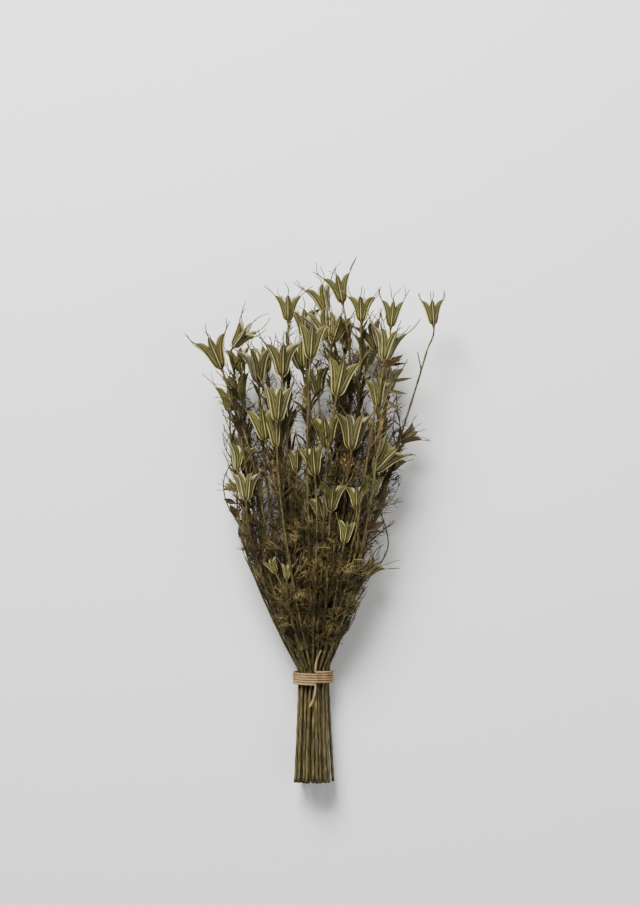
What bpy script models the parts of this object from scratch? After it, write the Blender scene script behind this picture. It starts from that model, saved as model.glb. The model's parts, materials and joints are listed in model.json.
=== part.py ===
"""A dried bunch of nigella seed heads, tied with jute twine and lying on its side.

Each plant is one piece: its stem from the cut end up through the tie, its side
branches, its thread-like leaves and its seed heads, all grown together. The twine
is the other piece. +Y runs from the cut ends to the heads, +Z is up from the
surface, and the origin is under the tie, on that surface.

Sizes are in millimetres. The pieces of a plant are joined at that scale, and the
joined mesh is then turned into metres.
"""
import math
import random

import bmesh
import bpy
import numpy as np
from mathutils import Matrix, Vector

MM = 0.001

# Whole bunch
CUT_Y = -90.0            # the cut ends, below the tie
TOP_Y = 360.0            # no beak reaches past this
TIE_HALF_DEPTH = 17.6    # the bunch and its tie are this deep each way at the tie
HEAD_HALF_DEPTH = 50.0   # and this deep each way among the top heads
HEAD_HALF_DEPTH_Y = 280.0
FLOOR_ROOM = 8.0         # a low head's middle is this far above the surface
LAYOUT_SEED = 7

# Stems
STEM_RADIUS_CUT = 1.4
STEM_RADIUS_HEAD = 0.9
LEAFY_RADIUS = 1.75      # stem with the bases of its leaves
LEAFY_ROOM = 2.3         # the room kept for it
LEAFY_FROM_Y = 34.0
LEAFY_ENDS_BELOW_HEAD = 34.0
STEM_GAP = 1.05
SIDE_BRANCH_LENGTH = 60.0
BRANCH_LEAFY = 0.6       # of a stem's leaf bases, on a side branch
LOWEST_FORK_Y = 45.0
FORK_BELOW_HEAD = 15.0
TIE_SPARE = 0.4          # room left over when the stems are first laid out in the tie
TAIL_SPLAY = 0.28        # how much the cut ends spread
STEEPEST_LEAN = 70.0     # degrees, of a head's lean as its stem follows it
MOST_SLOPE = 0.6         # sideways over upwards, where a stem meets its head
FAN_ACROSS = 1.5         # slopes at the tie, as multiples of the way to the head
FAN_UP = 1.3
LATE_FAN = 0.65
FORK_FAN = 1.2
STEM_TOLERANCE = 0.33    # how far a stem's drawn line may leave its true curve
STEM_SINKS = 2.5         # into the foot of its head
SQUARE_STEM = 1.2        # corner of a four-sided stem, beside a round one's radius

# Seed heads, as fractions of a lobe's length
LOBE_LENGTH = 1.15       # a lobe's length along its keel, for a body of 1
FOOT_SHARE = 0.28        # where the round foot ends
FUSED_SHARE = 0.42       # where the lobes part
SHOULDER_SHARE = 0.88    # where each lobe narrows to its beak
GROOVE = 0.72            # groove radius beside the keel's
LOBE_DEPTH = 0.17
LOBE_HALF_RIM = 0.062
HEAD_GAP = 0.4           # millimetres kept free round each lobe
BEAK_DEPTH = 0.055
BEAK_HALF_WIDTH = 0.024
KEEL_AT = [0.0, 0.10, 0.25, 0.42, 0.72]      # shares of a lobe's length
KEEL_TURN = [88.0, 56.0, 16.0, 13.0]         # degrees from the head's axis there
FLARE = 38.0             # degrees from the head's axis at a lobe's top
FLARE_AT_SIDE = 0.62     # share of it at the last place of KEEL_AT
FLARE_VARIES = 11.0      # degrees, from lobe to lobe
CURL = 26.0              # degrees that a beak bends by, most of them inwards
CURL_SHARES = (-1.7, 0.9)

# Tie
TWINE = 2.1
TIE_INNER_RADIUS = TIE_HALF_DEPTH - TWINE
TIE_TURNS = 5
TIE_STEPS = 20
TIE_CLEARANCE = 0.35
TIE_EASED = 0.3          # the edges of its hole are eased by this
TWINE_FLAT = 0.45        # half of the flat on the outside of a turn
TWINE_GROOVE = 0.75      # depth of the groove between two turns

# Leaf threads
THREAD_ROOT_RADIUS = 0.62
THREAD_MID_RADIUS = 0.5
THREADS_PER_STEM = 4
THREADS_PER_BRANCH = 1
THREAD_LENGTH = (12.0, 26.0)
THREAD_OPENS = (28.0, 52.0)     # degrees off the stem
THREAD_CLOSES = (0.2, 0.8)      # share of that left beyond its middle
THREAD_TRIES = 40
THREAD_SEED = 21

# Balls that stand for a head while room is sought, in shares of a lobe's length
LOBE_BALLS_AT = [0.46, 0.6, 0.73, 0.86, 0.94, 1.0]
LOBE_BALLS = [0.085, 0.085, 0.085, 0.075, 0.05, 0.035]
BEAK_BALLS_AT = [0.25, 0.5, 0.75, 1.0]       # shares of the beak
BEAK_BALL = 0.8                              # millimetres
FOOT_BALLS_AT = [0.16, 0.28, 0.38]
FOOT_BALLS = [0.16, 0.22, 0.25]
HEAD_ROOM_AT = [0.0, 0.2, 0.5, 1.0, 1.3]     # heights, in shares of the head's body
HEAD_ROOM = [0.1, 0.25, 0.32, 0.38, 0.24]    # radii, in the same shares

# Joining
UNION_SOLVER = "EXACT"
FLOOR_SOFT = 1.0         # what would dip under the surface is laid on it
SPLITS = [("FIXED", "EAR_CLIP"), ("BEAUTY", "BEAUTY"), ("ALTERNATE", "BEAUTY"),
          ("LONG_EDGE", "EAR_CLIP")]


def head(x, y, depth, lean, body, beak, lobes=5, pitch=0.0, arrives=None):
    """One seed head: its foot at x, y, 0 on the surface to 1 nearest the viewer.

    Its stem arrives along its lean, or at its own angle where that is given.
    """
    return {"x": x, "y": y, "depth": depth, "lean": lean, "pitch": pitch,
            "body": body, "beak": beak, "lobes": lobes, "arrives": arrives}


# Heads as they lie, read from left to right and top to bottom of the bunch.
HEADS = {
    "1": head(103, 302, .45, -4, 21, 9, 6, arrives=15),
    "2": head(66, 300, .55, 6, 22, 13, 6),
    "3": head(41, 304, .60, 2, 22, 11, 6),
    "4": head(25, 320, .60, -12, 24, 16, 6),
    "5a": head(12, 289, .50, -22, 26, 12),
    "5b": head(17, 287, .62, 18, 24, 10),
    "6": head(-21, 305, .55, 0, 22, 13),
    "7": head(-2, 272, .95, 4, 28, 13, 6),
    "8": head(-77, 264, .80, -22, 28, 14, 6),
    "9": head(-67, 282, .95, 38, 22, 16, 6, 25, arrives=0),
    "10": head(-62, 262, .38, -10, 21, 10),
    "11": head(-46, 253, .55, -2, 28, 12),
    "12": head(-26, 258, .75, -2, 28, 13, 6),
    "13": head(20, 241, 1.0, 12, 30, 15, 6),
    "14": head(55, 231, .95, 0, 27, 13, 6),
    "15": head(-30, 220, 1.0, 2, 28, 12, 6),
    "16": head(-40, 204, .75, -12, 27, 11),
    "17": head(-30, 198, .85, -2, 27, 11),
    "18": head(1, 174, 1.0, -8, 24, 14, 6),
    "19": head(-14, 178, .70, -2, 18, 8),
    "20": head(-23, 165, .60, 14, 20, 8),
    "21": head(-64, 178, .75, 8, 22, 12, 6),
    "22": head(-54, 153, .85, -2, 23, 8, 6),
    "23": head(-71, 228, .60, -4, 22, 14),
    "24": head(-60, 211, .45, -18, 16, 6),
    "25": head(33, 196, .70, 6, 30, 10, 6),
    "26": head(29, 176, .75, 0, 13, 4),
    "27": head(52, 178, .80, 40, 27, 8, 6),
    "28": head(67, 178, .40, 35, 14, 6),
    "29": head(72, 203, .45, 62, 18, 8),
    "31": head(51, 158, .75, 6, 16, 7),
    "32": head(36, 147, .90, 0, 18, 8),
    "33": head(15, 144, 1.0, 6, 23, 8, 6),
    "34": head(29, 117, 1.0, 10, 20, 8, 6),
    "35": head(37, 125, .70, 62, 17, 6),
    "36": head(45, 88, .60, 42, 16, 15),
    "37": head(-22, 86, 1.0, 4, 13, 6),
    "38": head(-32, 91, .90, -28, 13, 5),
    "40": head(-62, 161, .50, -62, 13, 6),
    "42": head(60, 271, .90, 12, 26, 16, 6),
    "43": head(54, 281, .55, -22, 24, 9),
    "44": head(-9, 264, .50, -14, 24, 8),
    "45": head(27, 285, .35, 2, 20, 8),
    "46": head(3, 242, .50, -6, 24, 8),
    "47": head(12, 197, .65, -6, 27, 9),
    "48": head(11, 313, .35, -18, 24, 14),
    "50": head(9, 136, .70, -12, 20, 6),
    "51": head(-12, 144, .60, -2, 18, 6),
    "52": head(-54, 121, .60, -10, 17, 6),
    "53": head(-51, 108, .50, -50, 10, 5),
    "54": head(-33, 81, .70, -25, 12, 4),
    "u1": head(-62, 238, .16, -12, 23, 9),
    "u2": head(-40, 262, .20, -8, 23, 9),
    "u3": head(-6, 292, .12, -4, 25, 10),
    "u4": head(46, 268, .10, 10, 25, 10),
    "u5": head(64, 244, .18, 6, 23, 9),
    "u6": head(-30, 218, .05, -6, 25, 9),
    "u7": head(22, 232, .08, 4, 25, 9),
    "u8": head(-58, 190, .04, -16, 23, 9),
    "u9": head(52, 196, .05, 12, 23, 9),
    "u10": head(0, 168, .03, 0, 22, 8),
}

# Plants: the first head ends the stem, the others end its side branches.
PLANTS = ["1", "2", "3", "4", "5a 5b", "6", "7", "8", "9 10", "11", "12 19", "13",
          "14 31", "15", "17 16", "18", "44 20 51", "21 40", "22", "23 24", "25 26",
          "27", "29 28", "32", "33 50", "34 35", "36", "37", "38 54", "42 43",
          "47 46", "48 45", "52 53", "u1", "u2", "u3", "u4", "u5", "u6", "u7",
          "u8", "u9", "u10"]

# Layout: levels across the bunch, every 5 mm along it
LEVEL_STEP = 5.0
LEVELS = np.arange(CUT_Y, TOP_Y + LEVEL_STEP, LEVEL_STEP)
ROUNDS = 380
NUDGE = 0.4              # millimetres that each strand is first moved by, at random
PUSH = 0.7               # share of an overlap that a round clears
MOST_PUSH = 2.5          # millimetres a round
SMOOTHED_ROUNDS = 0.6    # share of the rounds with three smoothing sweeps, then one
SPRING_BACK = 0.998      # of a strand's shift kept each round
HEAD_SPRING_BACK_X = 0.985
HEAD_SPRING_BACK_Z = 0.996
HEAD_EASE = 0.3          # a head gives way less than a stem
HEAD_SIDEWAYS = 0.45
STEM_SIDEWAYS = 0.45     # share of a push that moves a stem sideways above the tie
SIDEWAYS_FROM_Y = 60.0
SIDEWAYS_BY_Y = 120.0
TIE_HALF_LENGTH = 12.0   # the stems are held in a ring this far each way along the tie


def half_depth(y):
    """Half the bunch's depth at y, from the tie to the top heads."""
    share = min(max(y, 0.0) / HEAD_HALF_DEPTH_Y, 1.1)
    return TIE_HALF_DEPTH + (HEAD_HALF_DEPTH - TIE_HALF_DEPTH) * share ** 0.8


def head_height(one):
    """Height of a head's foot above the surface before the stems make room."""
    room = 2.0 * half_depth(one["y"]) - 2.0 * FLOOR_ROOM
    return FLOOR_ROOM + one["depth"] * room


def make_strands():
    """Every stem and side branch, with the plant it belongs to."""
    strands = []
    for plant, names in enumerate(PLANTS):
        main = len(strands)
        for order, name in enumerate(names.split()):
            one = HEADS[name]
            start = CUT_Y
            if order:
                highest = HEADS[names.split()[0]]["y"] - FORK_BELOW_HEAD
                start = max(min(one["y"] - SIDE_BRANCH_LENGTH, highest), LOWEST_FORK_Y)
            strands.append({"name": name, "plant": plant, "head": one, "start": start,
                            "parent": main if order else -1})
    return strands


def hermite(t, a, b, slope_a, slope_b, span):
    """Cubic from a to b over span, with the slopes given at its ends."""
    t2 = t * t
    t3 = t2 * t
    return ((2 * t3 - 3 * t2 + 1) * a + (t3 - 2 * t2 + t) * span * slope_a
            + (3 * t2 - 2 * t3) * b + (t3 - t2) * span * slope_b)


def stem_radius(strand, y, leafy_radius=LEAFY_ROOM):
    """Radius of a stem or branch at y, leaf bases included."""
    top = strand["head"]["y"]
    share = np.clip((y - CUT_Y) / (top - CUT_Y), 0.0, 1.0)
    bare = STEM_RADIUS_CUT + (STEM_RADIUS_HEAD - STEM_RADIUS_CUT) * share
    rise = np.clip((y - LEAFY_FROM_Y) / 25.0, 0.0, 1.0)
    fall = np.clip((top - LEAFY_ENDS_BELOW_HEAD - y) / 25.0, 0.0, 1.0)
    leafy = np.minimum(rise, fall)
    if strand["parent"] >= 0:
        leafy = leafy * np.clip((y - strand["start"] - 4.0) / 12.0, 0.0, 1.0)
        leafy = leafy * BRANCH_LEAFY
    return bare + (leafy_radius - bare) * leafy


def head_radius(one, y):
    """Radius of the room that a head takes at y, above its foot."""
    along = (y - one["y"]) / (one["body"] * math.cos(math.radians(one["lean"])))
    size = np.interp(along, HEAD_ROOM_AT, HEAD_ROOM)
    wide = min(1.0 / math.cos(math.radians(one["lean"])), 1.5)
    return one["body"] * size * wide


def aim_strands(strands):
    """Where each strand would run with nothing in its way: x and z at every level."""
    count = len(strands)
    aim_x = np.zeros((count, len(LEVELS)))
    aim_z = np.zeros((count, len(LEVELS)))
    room = TIE_INNER_RADIUS - STEM_RADIUS_CUT - TIE_CLEARANCE - TIE_SPARE
    for i, strand in enumerate(strands):
        one = strand["head"]
        top = head_height(one)
        steep = max(min(one["lean"], STEEPEST_LEAN), -STEEPEST_LEAN)
        lean = math.tan(math.radians(steep))
        pitch = math.tan(math.radians(one["pitch"]))
        if strand["parent"] < 0:
            side = one["x"] / 85.0
            up = (top - half_depth(one["y"])) / half_depth(one["y"])
            far = max(math.hypot(side, up), 1.0)
            x0 = side / far * room
            z0 = TIE_HALF_DEPTH + up / far * room
            y0 = 0.0
            outwards = (one["arrives"] or 0) * one["x"] > 0
            fan = LATE_FAN if outwards else FAN_ACROSS
            slope_x = fan * (one["x"] - x0) / one["y"]
            slope_z = FAN_UP * (top - z0) / one["y"]
        else:
            parent = strand["parent"]
            y0 = strand["start"]
            x0 = np.interp(y0, LEVELS, aim_x[parent])
            z0 = np.interp(y0, LEVELS, aim_z[parent])
            slope_x = FORK_FAN * (one["x"] - x0) / (one["y"] - y0)
            slope_z = FORK_FAN * (top - z0) / (one["y"] - y0)
        span = one["y"] - y0
        end_x = max(min(lean, MOST_SLOPE), -MOST_SLOPE)
        if one["arrives"] is not None:
            end_x = math.tan(math.radians(one["arrives"]))
        for k, y in enumerate(LEVELS):
            if y > one["y"]:
                aim_x[i, k] = one["x"] + lean * (y - one["y"])
                aim_z[i, k] = top + pitch * (y - one["y"])
            elif y >= y0:
                t = (y - y0) / span
                aim_x[i, k] = hermite(t, x0, one["x"], slope_x, end_x, span)
                aim_z[i, k] = hermite(t, z0, top, slope_z, min(pitch, 0.4), span)
            elif strand["parent"] >= 0:
                aim_x[i, k] = aim_x[strand["parent"], k]
                aim_z[i, k] = aim_z[strand["parent"], k]
            else:
                splay = 1.0 + TAIL_SPLAY * (y / CUT_Y) ** 1.5
                aim_x[i, k] = x0 * splay
                aim_z[i, k] = TIE_HALF_DEPTH + (z0 - TIE_HALF_DEPTH) * splay
    return aim_x, aim_z


def relax(strands):
    """Push the strands and heads of different plants apart, level by level."""
    count = len(strands)
    aim_x, aim_z = aim_strands(strands)
    draw = np.random.default_rng(LAYOUT_SEED)
    off_x = draw.uniform(-NUDGE, NUDGE, (count, 1)) + np.zeros((1, len(LEVELS)))
    off_z = draw.uniform(-NUDGE, NUDGE, (count, 1)) + np.zeros((1, len(LEVELS)))
    plant = np.array([s["plant"] for s in strands])
    size = np.zeros((count, len(LEVELS)))
    here = np.zeros((count, len(LEVELS)), bool)
    in_head = np.zeros((count, len(LEVELS)), bool)
    ease = np.ones((count, len(LEVELS)))
    for i, strand in enumerate(strands):
        one = strand["head"]
        reach = (one["body"] + 0.35 * one["beak"]) * math.cos(math.radians(one["lean"]))
        in_head[i] = (LEVELS > one["y"]) & (LEVELS < one["y"] + reach)
        here[i] = (LEVELS >= strand["start"] - 0.1) & (LEVELS < one["y"] + reach)
        size[i] = np.where(in_head[i], head_radius(one, LEVELS),
                           1.08 * stem_radius(strand, LEVELS))
        ease[i] = np.where(in_head[i], HEAD_EASE, 1.0)
    above = np.array([LEVELS > s["head"]["y"] for s in strands])
    below = np.array([LEVELS <= s["start"] + 0.1 for s in strands])
    other = plant[:, None] != plant[None, :]
    pair = other[:, :, None] & here[:, None, :] & here[None, :, :]
    need = size[:, None, :] + size[None, :, :] + STEM_GAP
    share = ease[:, None, :] / (ease[:, None, :] + ease[None, :, :])
    stem_sideways = np.interp(LEVELS, [SIDEWAYS_FROM_Y, SIDEWAYS_BY_Y], [1.0, STEM_SIDEWAYS])
    sideways = np.where(in_head, HEAD_SIDEWAYS, stem_sideways)
    in_tie = np.abs(LEVELS) <= TIE_HALF_LENGTH
    tie_room = np.where(in_tie, TIE_INNER_RADIUS - TIE_CLEARANCE, 1e3)
    tail = LEVELS < -TIE_HALF_LENGTH
    tie_room[tail] = TIE_INNER_RADIUS * (1.0 + 0.3 * (LEVELS[tail] / CUT_Y))
    lowest = np.where(in_head, 0.62 * size + 0.5, size + 0.5)
    for turn in range(ROUNDS):
        x = aim_x + off_x
        z = aim_z + off_z
        dx = x[:, None, :] - x[None, :, :]
        dz = z[:, None, :] - z[None, :, :]
        dist = np.sqrt(dx * dx + dz * dz) + 1e-6
        push = np.where(pair & (dist < need), (need - dist) / dist, 0.0) * share
        move_x = np.clip((push * dx).sum(1) * PUSH, -MOST_PUSH, MOST_PUSH) * sideways
        move_z = np.clip((push * dz).sum(1) * PUSH, -MOST_PUSH, MOST_PUSH)
        touched = (push > 0).any(1) & in_head
        for i in range(count):
            hit = touched[i]
            first = np.argmax(above[i])
            if hit.any():
                off_x[i, above[i]] += move_x[i, hit].mean()
                off_z[i, above[i]] += move_z[i, hit].mean()
            off_x[i, above[i]] = off_x[i, first] * HEAD_SPRING_BACK_X
            off_z[i, above[i]] = off_z[i, first] * HEAD_SPRING_BACK_Z
        stem = ~above
        off_x = np.where(stem, (off_x + move_x) * SPRING_BACK, off_x)
        off_z = np.where(stem, (off_z + move_z) * SPRING_BACK, off_z)
        for sweep in range(3 if turn < SMOOTHED_ROUNDS * ROUNDS else 1):
            left_x = np.concatenate([off_x[:, :1], off_x[:, :-1]], 1)
            left_z = np.concatenate([off_z[:, :1], off_z[:, :-1]], 1)
            right_x = np.concatenate([off_x[:, 1:], off_x[:, -1:]], 1)
            right_z = np.concatenate([off_z[:, 1:], off_z[:, -1:]], 1)
            off_x = np.where(stem, 0.5 * off_x + 0.25 * (left_x + right_x), off_x)
            off_z = np.where(stem, 0.5 * off_z + 0.25 * (left_z + right_z), off_z)
        x = aim_x + off_x
        z = aim_z + off_z
        out = np.sqrt(x * x + (z - TIE_HALF_DEPTH) ** 2) + 1e-6
        keep = np.minimum(1.0, (tie_room - size) / out)
        x = x * keep
        z = TIE_HALF_DEPTH + (z - TIE_HALF_DEPTH) * keep
        z = np.where(here, np.maximum(z, lowest), z)
        off_x = x - aim_x
        off_z = z - aim_z
        for i in range(count):
            one_first = np.argmax(above[i])
            lift = off_z[i, in_head[i]].max()
            off_z[i, above[i]] = max(lift, off_z[i, one_first])
            parent = strands[i]["parent"]
            if parent >= 0:
                off_x[i, below[i]] = off_x[parent, below[i]]
                off_z[i, below[i]] = off_z[parent, below[i]]
    return aim_x + off_x, aim_z + off_z


def simplify(points, tolerance):
    """The points of a line that its shape needs."""
    first, last = points[0], points[-1]
    chord = (last - first).normalized()
    far, far_at = 0.0, None
    for i, point in enumerate(points[1:-1], 1):
        off = point - first
        off = (off - chord * off.dot(chord)).length
        if off > far:
            far, far_at = off, i
    if far <= tolerance:
        return [first, last]
    return simplify(points[:far_at + 1], tolerance) + simplify(points[far_at:], tolerance)[1:]


def settle(strands):
    """Give each strand its line of points and each head its foot and axis."""
    x, z = relax(strands)
    for i, strand in enumerate(strands):
        one = strand["head"]
        ys = [y for y in LEVELS if strand["start"] - 0.1 <= y < one["y"] - 2.0]
        line = [Vector((np.interp(y, LEVELS, x[i]), y, np.interp(y, LEVELS, z[i])))
                for y in ys]
        foot = Vector((np.interp(one["y"], LEVELS, x[i]), one["y"],
                       np.interp(one["y"], LEVELS, z[i])))
        line.append(foot)
        lean = math.radians(one["lean"])
        pitch = math.radians(one["pitch"])
        axis = Vector((math.sin(lean) * math.cos(pitch), math.cos(lean) * math.cos(pitch),
                       math.sin(pitch)))
        strand["drawn"] = simplify(line, STEM_TOLERANCE)
        strand["foot"] = foot
        strand["axis"] = axis


def keel_curve(one, flare, curl, beak):
    """A lobe's keel: shares of its length, distance from the axis, height, direction."""
    length = LOBE_LENGTH * one["body"]
    end = 1.0 + beak / length
    share = np.linspace(0.0, end, 61)
    turn = np.interp(share, KEEL_AT + [1.0, max(end, 1.01)],
                     KEEL_TURN + [FLARE_AT_SIDE * flare, flare, flare + curl])
    turn = np.radians(turn)
    step = share[1] * length
    out = np.concatenate([[0.0], np.cumsum(np.sin(0.5 * (turn[1:] + turn[:-1]))) * step])
    up = np.concatenate([[0.0], np.cumsum(np.cos(0.5 * (turn[1:] + turn[:-1]))) * step])
    return share, out, up, turn


def head_frame(strand):
    """The foot, the axis and two directions across it, the first towards +Z."""
    axis = strand["axis"]
    toward = Vector((0.0, 0.0, 1.0))
    toward = (toward - axis * toward.dot(axis)).normalized()
    return strand["foot"], axis, toward, axis.cross(toward)


def lobe_balls(strand, angle, flare, curl, beak):
    """Balls that fill one lobe from where it parts to the tip of its beak."""
    one = strand["head"]
    foot, axis, toward, across = head_frame(strand)
    share, out, up, turn = keel_curve(one, flare, curl, beak)
    length = LOBE_LENGTH * one["body"]
    spots = LOBE_BALLS_AT + [1.0 + part * (share[-1] - 1.0) for part in BEAK_BALLS_AT]
    sizes = LOBE_BALLS + [BEAK_BALL / length] * len(BEAK_BALLS_AT)
    outward = toward * math.cos(angle) + across * math.sin(angle)
    centres = []
    for spot, size in zip(spots, sizes):
        phi = np.interp(spot, share, turn)
        in_out = -math.cos(phi) * size * length
        in_up = math.sin(phi) * size * length
        centres.append(foot + outward * (np.interp(spot, share, out) + in_out)
                       + axis * (np.interp(spot, share, up) + in_up))
    return np.array(centres), np.array(sizes) * length


def foot_balls(strand):
    """Balls that fill the fused lower half of a head."""
    foot, axis = strand["foot"], strand["axis"]
    length = LOBE_LENGTH * strand["head"]["body"]
    centres = [foot + axis * (spot * length) for spot in FOOT_BALLS_AT]
    return np.array(centres), np.array(FOOT_BALLS) * length


class Room:
    """The balls of everything placed so far, each with the plant that owns it."""

    def __init__(self):
        self.centres = np.zeros((0, 3))
        self.sizes = np.zeros(0)
        self.plants = np.zeros(0, int)

    def add(self, plant, centres, sizes):
        self.centres = np.concatenate([self.centres, centres])
        self.sizes = np.concatenate([self.sizes, sizes])
        self.plants = np.concatenate([self.plants, np.full(len(sizes), plant)])

    def clear(self, plant, centres, sizes, gap):
        """True if the balls keep the gap from every other plant's."""
        others = self.plants != plant
        apart = centres[:, None, :] - self.centres[None, others, :]
        dist = np.sqrt((apart ** 2).sum(2))
        return bool((dist > sizes[:, None] + self.sizes[None, others] + gap).all())


# What a lobe tries until it is clear: shares of its flare, its curl and its beak
LOBE_TRIES = [(1.0, 1.0, 1.0), (0.75, 1.0, 1.0), (1.2, 0.4, 1.0), (0.5, 0.8, 1.0),
              (0.3, 0.5, 0.9), (0.5, -0.6, 0.8), (0.8, 0.5, 0.5), (0.2, 0.0, 0.6),
              (0.5, 0.0, 0.3), (0.0, 0.0, 0.4), (0.1, 0.0, 0.15)]


def place_heads(strands):
    """Turn each head and set each lobe so that no plant runs through another."""
    room = Room()
    draw = random.Random(LAYOUT_SEED)
    for strand in strands:
        ys = np.arange(strand["start"], strand["foot"].y, 2.0)
        line = strand["drawn"]
        own = [point.y for point in line]
        centres = np.stack([np.interp(ys, own, [point.x for point in line]), ys,
                            np.interp(ys, own, [point.z for point in line])], 1)
        room.add(strand["plant"], centres, 1.1 * stem_radius(strand, ys))
    for strand in strands:
        one = dict(strand["head"])
        strand["head"] = one
        for attempt in range(6):
            if room.clear(strand["plant"], *foot_balls(strand), HEAD_GAP):
                break
            one["body"] *= 0.93
        room.add(strand["plant"], *foot_balls(strand))
    for strand in sorted(strands, key=lambda s: -s["foot"].z):
        one = strand["head"]
        lobes = one["lobes"]
        flare = draw.uniform(0.75, 1.15) * FLARE
        angles = [draw.uniform(-FLARE_VARIES, FLARE_VARIES) for lobe in range(lobes)]
        curls = [draw.uniform(*CURL_SHARES) * CURL for lobe in range(lobes)]
        beaks = [draw.uniform(0.85, 1.15) * one["beak"] for lobe in range(lobes)]
        best = None
        for spin in range(6):
            turn = 2.0 * math.pi / lobes * spin / 6.0
            free = 0
            for lobe in range(lobes):
                balls = lobe_balls(strand, turn + 2.0 * math.pi * lobe / lobes,
                                   flare + angles[lobe], curls[lobe], beaks[lobe])
                free += room.clear(strand["plant"], *balls, HEAD_GAP)
            if best is None or free > best[0]:
                best = (free, turn)
        strand["lobes"] = []
        for lobe in range(lobes):
            angle = best[1] + 2.0 * math.pi * lobe / lobes
            for flare_part, curl_part, beak_part in LOBE_TRIES:
                shape = (angle, (flare + angles[lobe]) * flare_part,
                         curls[lobe] * curl_part, beaks[lobe] * beak_part)
                balls = lobe_balls(strand, *shape)
                if room.clear(strand["plant"], *balls, HEAD_GAP):
                    break
            strand["lobes"].append(shape)
            room.add(strand["plant"], *balls)
    return room


def point_on(strand, y):
    """Point of a strand's drawn line at y, and the direction the strand runs there."""
    drawn = strand["drawn"]
    own = [point.y for point in drawn]
    spots = []
    for at in (y - 2.0, y, y + 2.0):
        spots.append(Vector((np.interp(at, own, [p.x for p in drawn]), at,
                             np.interp(at, own, [p.z for p in drawn]))))
    return spots[1], (spots[2] - spots[0]).normalized()


def place_threads(strands, room):
    """Leaf threads that stand off the stems where there is room for them."""
    draw = random.Random(THREAD_SEED)
    for strand in strands:
        strand["threads"] = []
        low = max(strand["start"] + 12.0, LEAFY_FROM_Y)
        high = strand["foot"].y - 8.0
        tries = 0
        wanted = THREADS_PER_STEM if strand["parent"] < 0 else THREADS_PER_BRANCH
        while len(strand["threads"]) < wanted and tries < THREAD_TRIES:
            tries += 1
            start, along = point_on(strand, draw.uniform(low, high))
            side = Vector((draw.uniform(-1, 1), draw.uniform(-1, 1), draw.uniform(-1, 1)))
            side = (side - along * side.dot(along)).normalized()
            length = draw.uniform(*THREAD_LENGTH)
            open_by = math.radians(draw.uniform(*THREAD_OPENS))
            mid = start + (along * math.cos(open_by) + side * math.sin(open_by)) * 0.5 * length
            open_by *= draw.uniform(*THREAD_CLOSES)
            tip = mid + (along * math.cos(open_by) + side * math.sin(open_by)) * 0.5 * length
            centres = np.array([start.lerp(mid, t) for t in (0.3, 0.65, 1.0)]
                               + [mid.lerp(tip, t) for t in (0.33, 0.66, 1.0)])
            sizes = np.full(len(centres), 1.25 * THREAD_ROOT_RADIUS)
            inside = centres[:, 2].min() > 1.0 and tip.y < TOP_Y
            if inside and room.clear(strand["plant"], centres, sizes, HEAD_GAP):
                strand["threads"].append((start, mid, tip))
                room.add(strand["plant"], centres, sizes)


def make_material(name, colour, roughness):
    """Principled material of one plain colour."""
    material = bpy.data.materials.new(name)
    material.use_nodes = True
    shader = material.node_tree.nodes["Principled BSDF"]
    shader.inputs["Base Color"].default_value = (*colour, 1.0)
    shader.inputs["Roughness"].default_value = roughness
    shader.inputs["Metallic"].default_value = 0.0
    material.diffuse_color = (*colour, 1.0)
    return material


def link(name, mesh, collection):
    """New object with this mesh in the collection."""
    item = bpy.data.objects.new(name, mesh)
    collection.objects.link(item)
    return item


def make_stem(strand, collection):
    """A stem or side branch: a four-sided tube that narrows up to its head."""
    points = strand["drawn"][:-1] + [strand["foot"] + strand["axis"] * STEM_SINKS]
    curve = bpy.data.curves.new("stem_line", "CURVE")
    curve.dimensions = "3D"
    curve.bevel_depth = 1.0
    curve.bevel_resolution = 0
    curve.use_fill_caps = True
    spline = curve.splines.new("POLY")
    spline.points.add(len(points) - 1)
    for spot, point in zip(spline.points, points):
        spot.co = (*point, 1.0)
        spot.radius = SQUARE_STEM * float(stem_radius(strand, point.y, LEAFY_RADIUS))
    tube = link("stem_tube", curve, collection)
    bpy.context.view_layer.update()
    graph = bpy.context.evaluated_depsgraph_get()
    mesh = bpy.data.meshes.new_from_object(tube.evaluated_get(graph))
    bm = bmesh.new()
    bm.from_mesh(mesh)
    bmesh.ops.remove_doubles(bm, verts=bm.verts, dist=1e-3)
    bm.to_mesh(mesh)
    bm.free()
    solid = link("stem_solid", mesh, collection)
    solid.matrix_world = tube.matrix_world
    bpy.data.objects.remove(tube)
    return solid


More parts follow.
